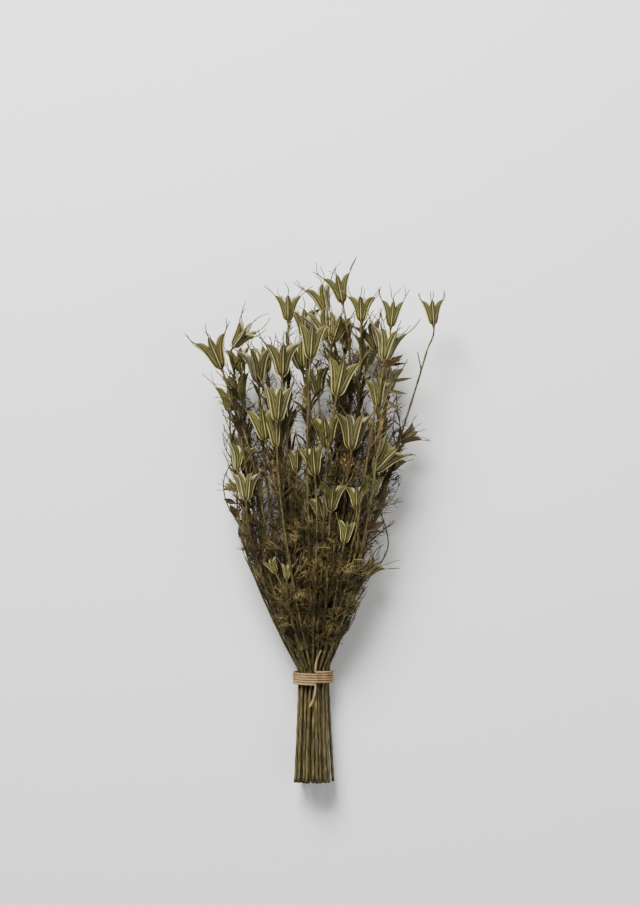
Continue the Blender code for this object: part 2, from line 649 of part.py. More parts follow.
def make_head(strand, collection):
    """A seed head: lobes fused to half way up, then parted, each with its beak.

    It is a loft from the foot through a ring of keels and grooves to the free
    lobes, whose sections are wedges with the keel outside.
    """
    one = strand["head"]
    foot, axis, toward, across = head_frame(strand)
    length = LOBE_LENGTH * one["body"]
    lobes = len(strand["lobes"])
    bm = bmesh.new()

    def spot(angle, out, up, aside=0.0):
        outward = toward * math.cos(angle) + across * math.sin(angle)
        tangent = across * math.cos(angle) - toward * math.sin(angle)
        return bm.verts.new(foot + outward * out + tangent * aside + axis * up)

    base = spot(0.0, 0.0, -0.25)
    share, out, up, turn = keel_curve(one, FLARE, CURL, one["beak"])
    low = (np.interp(FOOT_SHARE, share, out), np.interp(FOOT_SHARE, share, up))
    parting = (np.interp(FUSED_SHARE, share, out), np.interp(FUSED_SHARE, share, up))
    centre = spot(0.0, 0.0, parting[1] - 0.06 * length)
    half = math.pi / lobes
    rings = []
    for radius, height in (low, parting):
        keels = [spot(shape[0], radius, height) for shape in strand["lobes"]]
        grooves = [spot(shape[0] + half, radius * GROOVE, height) for shape in strand["lobes"]]
        rings.append((keels, grooves))
    for lobe, shape in enumerate(strand["lobes"]):
        keel_a, keel_b = rings[0][0][lobe], rings[1][0][lobe]
        left_a, left_b = rings[0][1][lobe], rings[1][1][lobe]
        right_a, right_b = rings[0][1][lobe - 1], rings[1][1][lobe - 1]
        bm.faces.new((base, keel_a, left_a))
        bm.faces.new((base, right_a, keel_a))
        bm.faces.new((keel_a, keel_b, left_b, left_a))
        bm.faces.new((right_a, right_b, keel_b, keel_a))
        angle, flare, curl, beak = shape
        share, out, up, turn = keel_curve(one, flare, curl, beak)
        sections = [(keel_b, left_b, right_b)]
        for at, depth, wide in ((SHOULDER_SHARE, LOBE_DEPTH, LOBE_HALF_RIM),
                                (1.0, BEAK_DEPTH, BEAK_HALF_WIDTH)):
            phi = np.interp(at, share, turn)
            far = np.interp(at, share, out)
            high = np.interp(at, share, up)
            rim_out = far - math.cos(phi) * depth * length
            rim_up = high + math.sin(phi) * depth * length
            sections.append((spot(angle, far, high),
                             spot(angle, rim_out, rim_up, wide * length),
                             spot(angle, rim_out, rim_up, -wide * length)))
        tip = spot(angle, out[-1], up[-1])
        bm.faces.new((sections[0][1], sections[1][1], centre))
        bm.faces.new((centre, sections[1][1], sections[1][2]))
        bm.faces.new((centre, sections[1][2], sections[0][2]))
        for a, b in zip(sections[:-1], sections[1:]):
            bm.faces.new((a[0], b[0], b[1], a[1]))
            bm.faces.new((a[2], b[2], b[0], a[0]))
        inner_a, inner_b = sections[1], sections[2]
        bm.faces.new((inner_a[1], inner_b[1], inner_b[2], inner_a[2]))
        last = sections[-1]
        for a, b in ((0, 1), (1, 2), (2, 0)):
            bm.faces.new((last[a], tip, last[b]))
    bmesh.ops.recalc_face_normals(bm, faces=bm.faces)
    bmesh.ops.triangulate(bm, faces=bm.faces)
    mesh = bpy.data.meshes.new("head")
    bm.to_mesh(mesh)
    bm.free()
    return link("head_solid", mesh, collection)


def make_thread(thread, collection):
    """A leaf thread: a bent three-sided spike, its root inside the stem."""
    start, mid, tip = thread
    bm = bmesh.new()
    rings = []
    side = (mid - start).orthogonal()
    for here, ahead, radius in ((start, mid, THREAD_ROOT_RADIUS), (mid, tip, THREAD_MID_RADIUS)):
        along = (ahead - here).normalized()
        side = (side - along * side.dot(along)).normalized()
        other = along.cross(side)
        ring = []
        for corner in range(3):
            turn = 2.0 * math.pi * corner / 3.0
            offset = side * math.cos(turn) + other * math.sin(turn)
            ring.append(bm.verts.new(here + offset * radius))
        rings.append(ring)
    point = bm.verts.new(tip)
    low, high = rings
    bm.faces.new(low[::-1])
    for a, b in ((0, 1), (1, 2), (2, 0)):
        bm.faces.new((low[a], low[b], high[b], high[a]))
        bm.faces.new((high[a], high[b], point))
    bmesh.ops.recalc_face_normals(bm, faces=bm.faces)
    bmesh.ops.triangulate(bm, faces=bm.faces)
    mesh = bpy.data.meshes.new("thread")
    bm.to_mesh(mesh)
    bm.free()
    return link("thread_solid", mesh, collection)


def face_groups(bm):
    """The faces of each body, smallest body first."""
    left = set(bm.faces)
    groups = []
    while left:
        group = [left.pop()]
        for face in group:
            for edge in face.edges:
                for other in edge.link_faces:
                    if other in left:
                        left.discard(other)
                        group.append(other)
        groups.append(group)
    return sorted(groups, key=len)


def keep_body(mesh):
    """Keep the one large body of a union, and lay on the surface what would dip under it."""
    bm = bmesh.new()
    bm.from_mesh(mesh)
    loose = [face for group in face_groups(bm)[:-1] for face in group]
    bmesh.ops.delete(bm, geom=loose, context="FACES")
    for vert in bm.verts:
        if vert.co.z < FLOOR_SOFT:
            vert.co.z = FLOOR_SOFT * math.exp(vert.co.z / FLOOR_SOFT - 1.0)
    for quads, others in SPLITS:
        split = bm.copy()
        bmesh.ops.triangulate(split, faces=split.faces, quad_method=quads, ngon_method=others)
        closed = all(len(edge.link_faces) == 2 for edge in split.edges)
        split.to_mesh(mesh)
        split.free()
        if closed:
            break
    bm.free()


def make_plant(number, members, material, collection):
    """One plant: its stem, branches, heads and leaf threads joined in one solid."""
    pieces = bpy.data.collections.new("plant_pieces")
    bpy.context.scene.collection.children.link(pieces)
    stems = [make_stem(strand, pieces) for strand in members]
    for strand in members:
        make_head(strand, pieces)
        for thread in strand["threads"]:
            make_thread(thread, pieces)
    plant = link(f"stem_{number:02d}", stems[0].data.copy(), collection)
    bpy.data.objects.remove(stems[0])
    union = plant.modifiers.new("grown_together", "BOOLEAN")
    union.operation = "UNION"
    union.operand_type = "COLLECTION"
    union.collection = pieces
    union.solver = UNION_SOLVER
    bpy.context.view_layer.update()
    graph = bpy.context.evaluated_depsgraph_get()
    mesh = bpy.data.meshes.new_from_object(plant.evaluated_get(graph))
    plant.modifiers.clear()
    plant.data = mesh
    for item in list(pieces.objects):
        bpy.data.objects.remove(item)
    bpy.data.collections.remove(pieces)
    keep_body(mesh)
    mesh.transform(Matrix.Scale(MM, 4))
    mesh.materials.clear()
    mesh.materials.append(material)
    return plant


def make_tie(material, collection):
    """The twine: five turns side by side, wound round the stems and pulled tight."""
    corner = TIE_HALF_DEPTH / math.cos(math.pi / TIE_STEPS)
    half = 0.5 * TWINE * TIE_TURNS
    bm = bmesh.new()
    outline = [(TIE_INNER_RADIUS, half - TIE_EASED), (TIE_INNER_RADIUS, -half + TIE_EASED)]
    for turn in range(TIE_TURNS):
        middle = -half + TWINE * (turn + 0.5)
        outline.append((corner - TWINE_GROOVE, middle - 0.5 * TWINE))
        outline.append((corner, middle - TWINE_FLAT))
        outline.append((corner, middle + TWINE_FLAT))
    outline.append((corner - TWINE_GROOVE, half))
    verts = [bm.verts.new((out * MM, along * MM, 0.0)) for out, along in outline]
    for a, b in zip(verts, verts[1:] + verts[:1]):
        bm.edges.new((a, b))
    mesh = bpy.data.meshes.new("tie")
    bm.to_mesh(mesh)
    bm.free()
    tie = link("tie", mesh, collection)
    wind = tie.modifiers.new("wound", "SCREW")
    wind.axis = "Y"
    wind.steps = TIE_STEPS
    wind.render_steps = TIE_STEPS
    wind.use_merge_vertices = True
    wind.merge_threshold = 1e-6
    wind.use_normal_calculate = True
    tie.location = (0.0, 0.0, TIE_HALF_DEPTH * MM)
    tie.rotation_euler = (0.0, math.pi / TIE_STEPS, 0.0)
    mesh.materials.append(material)
    return tie


def build():
    """The whole bunch."""
    for item in list(bpy.data.objects):
        bpy.data.objects.remove(item)
    bunch = bpy.data.collections.new("nigella_bunch")
    bpy.context.scene.collection.children.link(bunch)
    strands = make_strands()
    settle(strands)
    room = place_heads(strands)
    place_threads(strands, room)
    olive = make_material("dry_olive_straw", (0.42, 0.38, 0.17), 0.7)
    jute = make_material("jute", (0.45, 0.32, 0.17), 0.9)
    make_tie(jute, bunch)
    for plant in range(len(PLANTS)):
        members = [strand for strand in strands if strand["plant"] == plant]
        make_plant(plant + 1, members, olive, bunch)


build()
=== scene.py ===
"""The look of a dried bunch of nigella seed heads, tied with jute twine, lying on a pale table.

The stems, the seed heads and the twine are worked out as the CAD model works them
out, and then drawn finely: papery follicles with keels and nerves, round stems and
thread-like leaves. Lengths are in millimetres until a mesh is made.
"""

import json
import math
import random

import bpy
import numpy as np
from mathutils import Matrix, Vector

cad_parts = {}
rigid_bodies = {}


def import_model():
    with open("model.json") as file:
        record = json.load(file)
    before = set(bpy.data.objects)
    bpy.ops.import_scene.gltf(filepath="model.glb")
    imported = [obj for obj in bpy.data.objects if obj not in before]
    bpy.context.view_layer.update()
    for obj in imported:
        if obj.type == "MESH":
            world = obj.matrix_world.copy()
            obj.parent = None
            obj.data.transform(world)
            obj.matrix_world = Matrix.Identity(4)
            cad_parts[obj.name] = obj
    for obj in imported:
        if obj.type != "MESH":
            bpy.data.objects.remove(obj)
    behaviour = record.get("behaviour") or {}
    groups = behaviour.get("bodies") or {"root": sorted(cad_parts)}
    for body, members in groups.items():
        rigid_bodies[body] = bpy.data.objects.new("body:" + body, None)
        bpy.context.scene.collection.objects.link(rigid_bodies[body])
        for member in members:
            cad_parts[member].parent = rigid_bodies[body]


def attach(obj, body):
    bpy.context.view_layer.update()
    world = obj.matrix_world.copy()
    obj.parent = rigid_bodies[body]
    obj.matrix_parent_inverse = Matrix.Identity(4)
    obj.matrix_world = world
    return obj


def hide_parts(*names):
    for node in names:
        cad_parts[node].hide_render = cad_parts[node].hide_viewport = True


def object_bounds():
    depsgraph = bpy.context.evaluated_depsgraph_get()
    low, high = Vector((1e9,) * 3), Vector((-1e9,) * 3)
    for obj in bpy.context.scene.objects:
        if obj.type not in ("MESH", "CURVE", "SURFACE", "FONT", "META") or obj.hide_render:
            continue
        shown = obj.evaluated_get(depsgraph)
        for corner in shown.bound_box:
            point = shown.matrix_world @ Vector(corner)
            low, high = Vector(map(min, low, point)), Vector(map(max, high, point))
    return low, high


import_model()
cad_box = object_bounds()

# STEMS
# The real stems are dry, thin and slightly ribbed, straw to brown, with side branches
# that each end in a seed head. They are drawn as tubes that narrow up to the heads,
# thicken at each joint and swell to a rusty collar under the follicles.
MM = 0.001
CUT_Y = -90.0            # the cut ends, below the tie
TOP_Y = 360.0            # no beak reaches past this
TIE_HALF_DEPTH = 17.6    # the bunch and its tie are this deep each way at the tie
HEAD_HALF_DEPTH = 50.0   # and this deep each way among the top heads
HEAD_HALF_DEPTH_Y = 280.0
DEEPEST_SHARE = 1.1      # of HEAD_HALF_DEPTH_Y, where the depth stops growing
DEPTH_POWER = 0.8        # it grows faster near the tie
BUNCH_HALF_WIDTH = 85.0
FLOOR_ROOM = 8.0         # a low head's middle is this far above the surface
LAYOUT_SEED = 7
STEM_RADIUS_CUT = 1.4
STEM_RADIUS_HEAD = 0.9
LEAFY_ROOM = 2.3         # radius kept clear where a stem has leaf bases
LEAFY_FROM_Y = 34.0
LEAFY_ENDS_BELOW_HEAD = 34.0
LEAFY_FADE = 25.0        # the leaf bases come and go over this length
STEM_GAP = 1.05          # between stems of different plants
SIDE_BRANCH_LENGTH = 60.0
BRANCH_LEAFY = 0.6       # of a stem's leaf bases, on a side branch
BRANCH_BARE = 4.0        # a side branch has none over this length
BRANCH_FADE = 12.0
LOWEST_FORK_Y = 45.0
FORK_BELOW_HEAD = 15.0
TIE_SPARE = 0.4          # room left over when the stems are first laid out in the tie
TAIL_SPLAY = 0.28        # how much the cut ends spread
STEEPEST_LEAN = 70.0     # degrees, of a head's lean as its stem follows it
MOST_SLOPE = 0.6         # sideways over upwards, where a stem meets its head
MOST_PITCH = 0.4         # the same, towards the viewer
FAN_ACROSS = 1.5         # slopes at the tie, as multiples of the way to the head
FAN_UP = 1.3
LATE_FAN = 0.65          # for a stem that bends outwards only near its head
FORK_FAN = 1.2
STEM_TOLERANCE = 0.33    # how far a stem's drawn line may leave its true curve
TWINE = 2.1              # its thickness
TIE_INNER_RADIUS = TIE_HALF_DEPTH - TWINE
TIE_CLEARANCE = 0.35
LEVEL_STEP = 5.0
LEVELS = np.arange(CUT_Y, TOP_Y + LEVEL_STEP, LEVEL_STEP)
ROUNDS = 380             # of pushing the plants apart
NUDGE = 0.4              # millimetres that each strand is first moved by, at random
PUSH = 0.7               # share of an overlap that a round clears
MOST_PUSH = 2.5          # millimetres a round
SMOOTHED_ROUNDS = 0.6    # share of the rounds with three smoothing sweeps, then one
SPRING_BACK = 0.998      # of a strand's shift kept each round
HEAD_SPRING_BACK_X = 0.985
HEAD_SPRING_BACK_Z = 0.996
HEAD_EASE = 0.3          # a head gives way less than a stem
HEAD_SIDEWAYS = 0.45
STEM_SIDEWAYS = 0.45     # share of a push that moves a stem sideways above the tie
SIDEWAYS_FROM_Y = 60.0
SIDEWAYS_BY_Y = 120.0
TIE_HALF_LENGTH = 12.0   # the stems are held in a ring this far each way along the tie
TAIL_ROOM = 0.3          # wider at the cut ends than in the tie, as a share
BEAK_ROOM = 0.35         # share of a beak that room is made for
STEM_ROOM = 1.08         # room round a stem, as a multiple of its radius
HEAD_REST = 0.62         # a head's middle is this share of its room above the surface
REST_GAP = 0.5           # and this much more
HEAD_ROOM_AT = [0.0, 0.2, 0.5, 1.0, 1.3]     # heights, in shares of the head's body
HEAD_ROOM = [0.1, 0.25, 0.32, 0.38, 0.24]    # radii, in the same shares
SMOOTH_ABOVE = 17.0      # a stem's line bends over this length to meet its head
BENDS_OVER = 4           # steps of that bend
SLIM = 0.9               # the real stems are rounder than the CAD model's four sides
BRANCH_RADIUS = 0.95     # at most
STEM_SIDES = 2           # bevel resolution: eight sides
JOINT_EVERY = 21.0       # swollen joints along a stem
JOINT_SHIFT = 7.0        # from one plant to the next
JOINT_LENGTH = 5.0
JOINT_SWELL = 1.22
# The collar: distance along the head's axis from its foot, and radius. Its first point
# keeps the stem's own radius, a little narrowed
COLLAR = [(-5.0, 1.0), (-2.6, 1.05), (-1.3, 1.5), (-0.3, 1.75), (0.5, 1.6), (1.4, 1.2)]
COLLAR_NARROWS = 0.92
FULL_BODY = 28.0         # a head this long has the collar at full size
COLLAR_LEAST = 0.55      # share of it that doesn't depend on the head's length
COLLAR_GROWS = 0.45      # and the share that does
# Bare shoots that leave a stem and bend round, as the photo shows: the head of the stem,
# and x, y and the height above the table of each point. The third one's heights are
# above its stem
LOOSE_SHOOTS = [("36", [(38.0, 76.0, 24.0), (46.0, 86.0, 27.0), (58.0, 98.0, 29.0),
                        (64.5, 110.0, 29.0), (64.5, 122.0, 28.0), (58.0, 142.0, 27.0)]),
                ("21", [(-60.0, 128.0, 30.0), (-67.0, 138.0, 33.0), (-74.0, 149.0, 35.0),
                        (-77.0, 163.0, 35.0), (-76.0, 174.0, 33.0), (-70.0, 184.0, 31.0)]),
                ("1", [(95.0, 259.0, 0.0), (92.0, 265.0, 1.0), (90.5, 271.0, 1.5),
                       (89.0, 279.0, 1.0)])]
LOOSE_SHOOT_RADII = (0.75, 0.5)
STEM_FIBRE_COLOURS = [(0.32, (0.024, 0.017, 0.005)), (0.5, (0.07, 0.055, 0.016)),
                      (0.68, (0.19, 0.155, 0.055))]
STEM_BLOTCH_COLOURS = [(0.35, (0.55, 0.5, 0.42)), (0.55, (1.0, 1.0, 1.0)),
                       (0.75, (1.0, 0.82, 0.6))]
COLLAR_COLOURS = [(0.35, (0.07, 0.03, 0.007)), (0.65, (0.15, 0.065, 0.013))]
SAME_POINT = 2e-6        # metres
COLLAR_REACH = 0.0032    # metres from a head's foot that are rusty
COLLAR_BELOW = -0.0012   # and from how far below it


def head(x, y, depth, lean, body, beak, lobes=5, pitch=0.0, arrives=None):
    """One seed head: its foot at x, y, 0 on the surface to 1 nearest the viewer.

    Its stem arrives along its lean, or at its own angle where that is given.
    """
    return {"x": x, "y": y, "depth": depth, "lean": lean, "pitch": pitch,
            "body": body, "beak": beak, "lobes": lobes, "arrives": arrives}


# Heads as they lie, read from left to right and top to bottom of the bunch.
HEADS = {
    "1": head(103, 302, .45, -4, 21, 9, 6, arrives=15),
    "2": head(66, 300, .55, 6, 22, 13, 6),
    "3": head(41, 304, .60, 2, 22, 11, 6),
    "4": head(25, 320, .60, -12, 24, 16, 6),
    "5a": head(12, 289, .50, -22, 26, 12),
    "5b": head(17, 287, .62, 18, 24, 10),
    "6": head(-21, 305, .55, 0, 22, 13),
    "7": head(-2, 272, .95, 4, 28, 13, 6),
    "8": head(-77, 264, .80, -22, 28, 14, 6),
    "9": head(-67, 282, .95, 38, 22, 16, 6, 25, arrives=0),
    "10": head(-62, 262, .38, -10, 21, 10),
    "11": head(-46, 253, .55, -2, 28, 12),
    "12": head(-26, 258, .75, -2, 28, 13, 6),
    "13": head(20, 241, 1.0, 12, 30, 15, 6),
    "14": head(55, 231, .95, 0, 27, 13, 6),
    "15": head(-30, 220, 1.0, 2, 28, 12, 6),
    "16": head(-40, 204, .75, -12, 27, 11),
    "17": head(-30, 198, .85, -2, 27, 11),
    "18": head(1, 174, 1.0, -8, 24, 14, 6),
    "19": head(-14, 178, .70, -2, 18, 8),
    "20": head(-23, 165, .60, 14, 20, 8),
    "21": head(-64, 178, .75, 8, 22, 12, 6),
    "22": head(-54, 153, .85, -2, 23, 8, 6),
    "23": head(-71, 228, .60, -4, 22, 14),
    "24": head(-60, 211, .45, -18, 16, 6),
    "25": head(33, 196, .70, 6, 30, 10, 6),
    "26": head(29, 176, .75, 0, 13, 4),
    "27": head(52, 178, .80, 40, 27, 8, 6),
    "28": head(67, 178, .40, 35, 14, 6),
    "29": head(72, 203, .45, 62, 18, 8),
    "31": head(51, 158, .75, 6, 16, 7),
    "32": head(36, 147, .90, 0, 18, 8),
    "33": head(15, 144, 1.0, 6, 23, 8, 6),
    "34": head(29, 117, 1.0, 10, 20, 8, 6),
    "35": head(37, 125, .70, 62, 17, 6),
    "36": head(45, 88, .60, 42, 16, 15),
    "37": head(-22, 86, 1.0, 4, 13, 6),
    "38": head(-32, 91, .90, -28, 13, 5),
    "40": head(-62, 161, .50, -62, 13, 6),
    "42": head(60, 271, .90, 12, 26, 16, 6),
    "43": head(54, 281, .55, -22, 24, 9),
    "44": head(-9, 264, .50, -14, 24, 8),
    "45": head(27, 285, .35, 2, 20, 8),
    "46": head(3, 242, .50, -6, 24, 8),
    "47": head(12, 197, .65, -6, 27, 9),
    "48": head(11, 313, .35, -18, 24, 14),
    "50": head(9, 136, .70, -12, 20, 6),
    "51": head(-12, 144, .60, -2, 18, 6),
    "52": head(-54, 121, .60, -10, 17, 6),
    "53": head(-51, 108, .50, -50, 10, 5),
    "54": head(-33, 81, .70, -25, 12, 4),
    "u1": head(-62, 238, .16, -12, 23, 9),
    "u2": head(-40, 262, .20, -8, 23, 9),
    "u3": head(-6, 292, .12, -4, 25, 10),
    "u4": head(46, 268, .10, 10, 25, 10),
    "u5": head(64, 244, .18, 6, 23, 9),
    "u6": head(-30, 218, .05, -6, 25, 9),
    "u7": head(22, 232, .08, 4, 25, 9),
    "u8": head(-58, 190, .04, -16, 23, 9),
    "u9": head(52, 196, .05, 12, 23, 9),
    "u10": head(0, 168, .03, 0, 22, 8),
}

# Plants: the first head ends the stem, the others end its side branches.
PLANTS = ["1", "2", "3", "4", "5a 5b", "6", "7", "8", "9 10", "11", "12 19", "13",
          "14 31", "15", "17 16", "18", "44 20 51", "21 40", "22", "23 24", "25 26",
          "27", "29 28", "32", "33 50", "34 35", "36", "37", "38 54", "42 43",
          "47 46", "48 45", "52 53", "u1", "u2", "u3", "u4", "u5", "u6", "u7",
          "u8", "u9", "u10"]


def half_depth(y):
    """Half the bunch's depth at y, from the tie to the top heads."""
    share = min(max(y, 0.0) / HEAD_HALF_DEPTH_Y, DEEPEST_SHARE)
    return TIE_HALF_DEPTH + (HEAD_HALF_DEPTH - TIE_HALF_DEPTH) * share ** DEPTH_POWER


def head_height(one):
    """Height of a head's foot above the surface before the stems make room."""
    room = 2.0 * half_depth(one["y"]) - 2.0 * FLOOR_ROOM
    return FLOOR_ROOM + one["depth"] * room


def make_strands():
    """Every stem and side branch, with the plant it belongs to."""
    strands = []
    for plant, names in enumerate(PLANTS):
        main = len(strands)
        for order, name in enumerate(names.split()):
            one = HEADS[name]
            start = CUT_Y
            if order:
                highest = HEADS[names.split()[0]]["y"] - FORK_BELOW_HEAD
                start = max(min(one["y"] - SIDE_BRANCH_LENGTH, highest), LOWEST_FORK_Y)
            strands.append({"name": name, "plant": plant, "head": one, "start": start,
                            "parent": main if order else -1})
    return strands


def hermite(t, a, b, slope_a, slope_b, span):
    """Cubic from a to b over span, with the slopes given at its ends."""
    t2 = t * t
    t3 = t2 * t
    return ((2 * t3 - 3 * t2 + 1) * a + (t3 - 2 * t2 + t) * span * slope_a
            + (3 * t2 - 2 * t3) * b + (t3 - t2) * span * slope_b)


def stem_radius(strand, y):
    """Radius of a stem or branch at y, leaf bases included."""
    top = strand["head"]["y"]
    share = np.clip((y - CUT_Y) / (top - CUT_Y), 0.0, 1.0)
    bare = STEM_RADIUS_CUT + (STEM_RADIUS_HEAD - STEM_RADIUS_CUT) * share
    rise = np.clip((y - LEAFY_FROM_Y) / LEAFY_FADE, 0.0, 1.0)
    fall = np.clip((top - LEAFY_ENDS_BELOW_HEAD - y) / LEAFY_FADE, 0.0, 1.0)
    leafy = np.minimum(rise, fall)
    if strand["parent"] >= 0:
        leafy = leafy * np.clip((y - strand["start"] - BRANCH_BARE) / BRANCH_FADE, 0.0, 1.0)
        leafy = leafy * BRANCH_LEAFY
    return bare + (LEAFY_ROOM - bare) * leafy


def head_radius(one, y):
    """Radius of the room that a head takes at y, above its foot."""
    along = (y - one["y"]) / (one["body"] * math.cos(math.radians(one["lean"])))
    size = np.interp(along, HEAD_ROOM_AT, HEAD_ROOM)
    wide = min(1.0 / math.cos(math.radians(one["lean"])), 1.5)
    return one["body"] * size * wide


def aim_strands(strands):
    """Where each strand would run with nothing in its way: x and z at every level."""
    count = len(strands)
    aim_x = np.zeros((count, len(LEVELS)))
    aim_z = np.zeros((count, len(LEVELS)))
    room = TIE_INNER_RADIUS - STEM_RADIUS_CUT - TIE_CLEARANCE - TIE_SPARE
    for i, strand in enumerate(strands):
        one = strand["head"]
        top = head_height(one)
        steep = max(min(one["lean"], STEEPEST_LEAN), -STEEPEST_LEAN)
        lean = math.tan(math.radians(steep))
        pitch = math.tan(math.radians(one["pitch"]))
        if strand["parent"] < 0:
            side = one["x"] / BUNCH_HALF_WIDTH
            up = (top - half_depth(one["y"])) / half_depth(one["y"])
            far = max(math.hypot(side, up), 1.0)
            x0 = side / far * room
            z0 = TIE_HALF_DEPTH + up / far * room
            y0 = 0.0
            outwards = (one["arrives"] or 0) * one["x"] > 0
            fan = LATE_FAN if outwards else FAN_ACROSS
            slope_x = fan * (one["x"] - x0) / one["y"]
            slope_z = FAN_UP * (top - z0) / one["y"]
        else:
            parent = strand["parent"]
            y0 = strand["start"]
            x0 = np.interp(y0, LEVELS, aim_x[parent])
            z0 = np.interp(y0, LEVELS, aim_z[parent])
            slope_x = FORK_FAN * (one["x"] - x0) / (one["y"] - y0)
            slope_z = FORK_FAN * (top - z0) / (one["y"] - y0)
        span = one["y"] - y0
        end_x = max(min(lean, MOST_SLOPE), -MOST_SLOPE)
        if one["arrives"] is not None:
            end_x = math.tan(math.radians(one["arrives"]))
        for k, y in enumerate(LEVELS):
            if y > one["y"]:
                aim_x[i, k] = one["x"] + lean * (y - one["y"])
                aim_z[i, k] = top + pitch * (y - one["y"])
            elif y >= y0:
                t = (y - y0) / span
                aim_x[i, k] = hermite(t, x0, one["x"], slope_x, end_x, span)
                aim_z[i, k] = hermite(t, z0, top, slope_z, min(pitch, MOST_PITCH), span)
            elif strand["parent"] >= 0:
                aim_x[i, k] = aim_x[strand["parent"], k]
                aim_z[i, k] = aim_z[strand["parent"], k]
            else:
                splay = 1.0 + TAIL_SPLAY * (y / CUT_Y) ** 1.5
                aim_x[i, k] = x0 * splay
                aim_z[i, k] = TIE_HALF_DEPTH + (z0 - TIE_HALF_DEPTH) * splay
    return aim_x, aim_z


def smoothed(off):
    """The shifts of each strand, each one drawn halfway to the mean of its neighbours."""
    left = np.concatenate([off[:, :1], off[:, :-1]], 1)
    right = np.concatenate([off[:, 1:], off[:, -1:]], 1)
    return 0.5 * off + 0.25 * (left + right)


def relax(strands):
    """Push the strands and heads of different plants apart, level by level."""
    count = len(strands)
    aim_x, aim_z = aim_strands(strands)
    draw = np.random.default_rng(LAYOUT_SEED)
    off_x = draw.uniform(-NUDGE, NUDGE, (count, 1)) + np.zeros((1, len(LEVELS)))
    off_z = draw.uniform(-NUDGE, NUDGE, (count, 1)) + np.zeros((1, len(LEVELS)))
    plant = np.array([s["plant"] for s in strands])
    size = np.zeros((count, len(LEVELS)))
    here = np.zeros((count, len(LEVELS)), bool)
    in_head = np.zeros((count, len(LEVELS)), bool)
    ease = np.ones((count, len(LEVELS)))
    for i, strand in enumerate(strands):
        one = strand["head"]
        reach = one["body"] + BEAK_ROOM * one["beak"]
        reach = reach * math.cos(math.radians(one["lean"]))
        in_head[i] = (LEVELS > one["y"]) & (LEVELS < one["y"] + reach)
        here[i] = (LEVELS >= strand["start"] - 0.1) & (LEVELS < one["y"] + reach)
        size[i] = np.where(in_head[i], head_radius(one, LEVELS),
                           STEM_ROOM * stem_radius(strand, LEVELS))
        ease[i] = np.where(in_head[i], HEAD_EASE, 1.0)
    above = np.array([LEVELS > s["head"]["y"] for s in strands])
    below = np.array([LEVELS <= s["start"] + 0.1 for s in strands])
    other = plant[:, None] != plant[None, :]
    pair = other[:, :, None] & here[:, None, :] & here[None, :, :]
    need = size[:, None, :] + size[None, :, :] + STEM_GAP
    share = ease[:, None, :] / (ease[:, None, :] + ease[None, :, :])
    stem_sideways = np.interp(LEVELS, [SIDEWAYS_FROM_Y, SIDEWAYS_BY_Y], [1.0, STEM_SIDEWAYS])
    sideways = np.where(in_head, HEAD_SIDEWAYS, stem_sideways)
    in_tie = np.abs(LEVELS) <= TIE_HALF_LENGTH
    tie_room = np.where(in_tie, TIE_INNER_RADIUS - TIE_CLEARANCE, 1e3)
    tail = LEVELS < -TIE_HALF_LENGTH
    tie_room[tail] = TIE_INNER_RADIUS * (1.0 + TAIL_ROOM * (LEVELS[tail] / CUT_Y))
    lowest = np.where(in_head, HEAD_REST * size + REST_GAP, size + REST_GAP)
    for turn in range(ROUNDS):
        x = aim_x + off_x
        z = aim_z + off_z
        dx = x[:, None, :] - x[None, :, :]
        dz = z[:, None, :] - z[None, :, :]
        dist = np.sqrt(dx * dx + dz * dz) + 1e-6
        push = np.where(pair & (dist < need), (need - dist) / dist, 0.0) * share
        move_x = np.clip((push * dx).sum(1) * PUSH, -MOST_PUSH, MOST_PUSH) * sideways
        move_z = np.clip((push * dz).sum(1) * PUSH, -MOST_PUSH, MOST_PUSH)
        touched = (push > 0).any(1) & in_head
        for i in range(count):
            hit = touched[i]
            first = np.argmax(above[i])
            if hit.any():
                off_x[i, above[i]] += move_x[i, hit].mean()
                off_z[i, above[i]] += move_z[i, hit].mean()
            off_x[i, above[i]] = off_x[i, first] * HEAD_SPRING_BACK_X
            off_z[i, above[i]] = off_z[i, first] * HEAD_SPRING_BACK_Z
        stem = ~above
        off_x = np.where(stem, (off_x + move_x) * SPRING_BACK, off_x)
        off_z = np.where(stem, (off_z + move_z) * SPRING_BACK, off_z)
        for sweep in range(3 if turn < SMOOTHED_ROUNDS * ROUNDS else 1):
            off_x = np.where(stem, smoothed(off_x), off_x)
            off_z = np.where(stem, smoothed(off_z), off_z)
        x = aim_x + off_x
        z = aim_z + off_z
        out = np.sqrt(x * x + (z - TIE_HALF_DEPTH) ** 2) + 1e-6
        keep = np.minimum(1.0, (tie_room - size) / out)
        x = x * keep
        z = TIE_HALF_DEPTH + (z - TIE_HALF_DEPTH) * keep
        z = np.where(here, np.maximum(z, lowest), z)
        off_x = x - aim_x
        off_z = z - aim_z
        for i in range(count):
            first = np.argmax(above[i])
            lift = off_z[i, in_head[i]].max()
            off_z[i, above[i]] = max(lift, off_z[i, first])
            parent = strands[i]["parent"]
            if parent >= 0:
                off_x[i, below[i]] = off_x[parent, below[i]]
                off_z[i, below[i]] = off_z[parent, below[i]]
    return aim_x + off_x, aim_z + off_z


def simplify(points, tolerance):
    """The points of a line that its shape needs."""
    first, last = points[0], points[-1]
    chord = (last - first).normalized()
    far, far_at = 0.0, None
    for i, point in enumerate(points[1:-1], 1):
        off = point - first
        off = (off - chord * off.dot(chord)).length
        if off > far:
            far, far_at = off, i
    if far <= tolerance:
        return [first, last]
    return simplify(points[:far_at + 1], tolerance) + simplify(points[far_at:], tolerance)[1:]


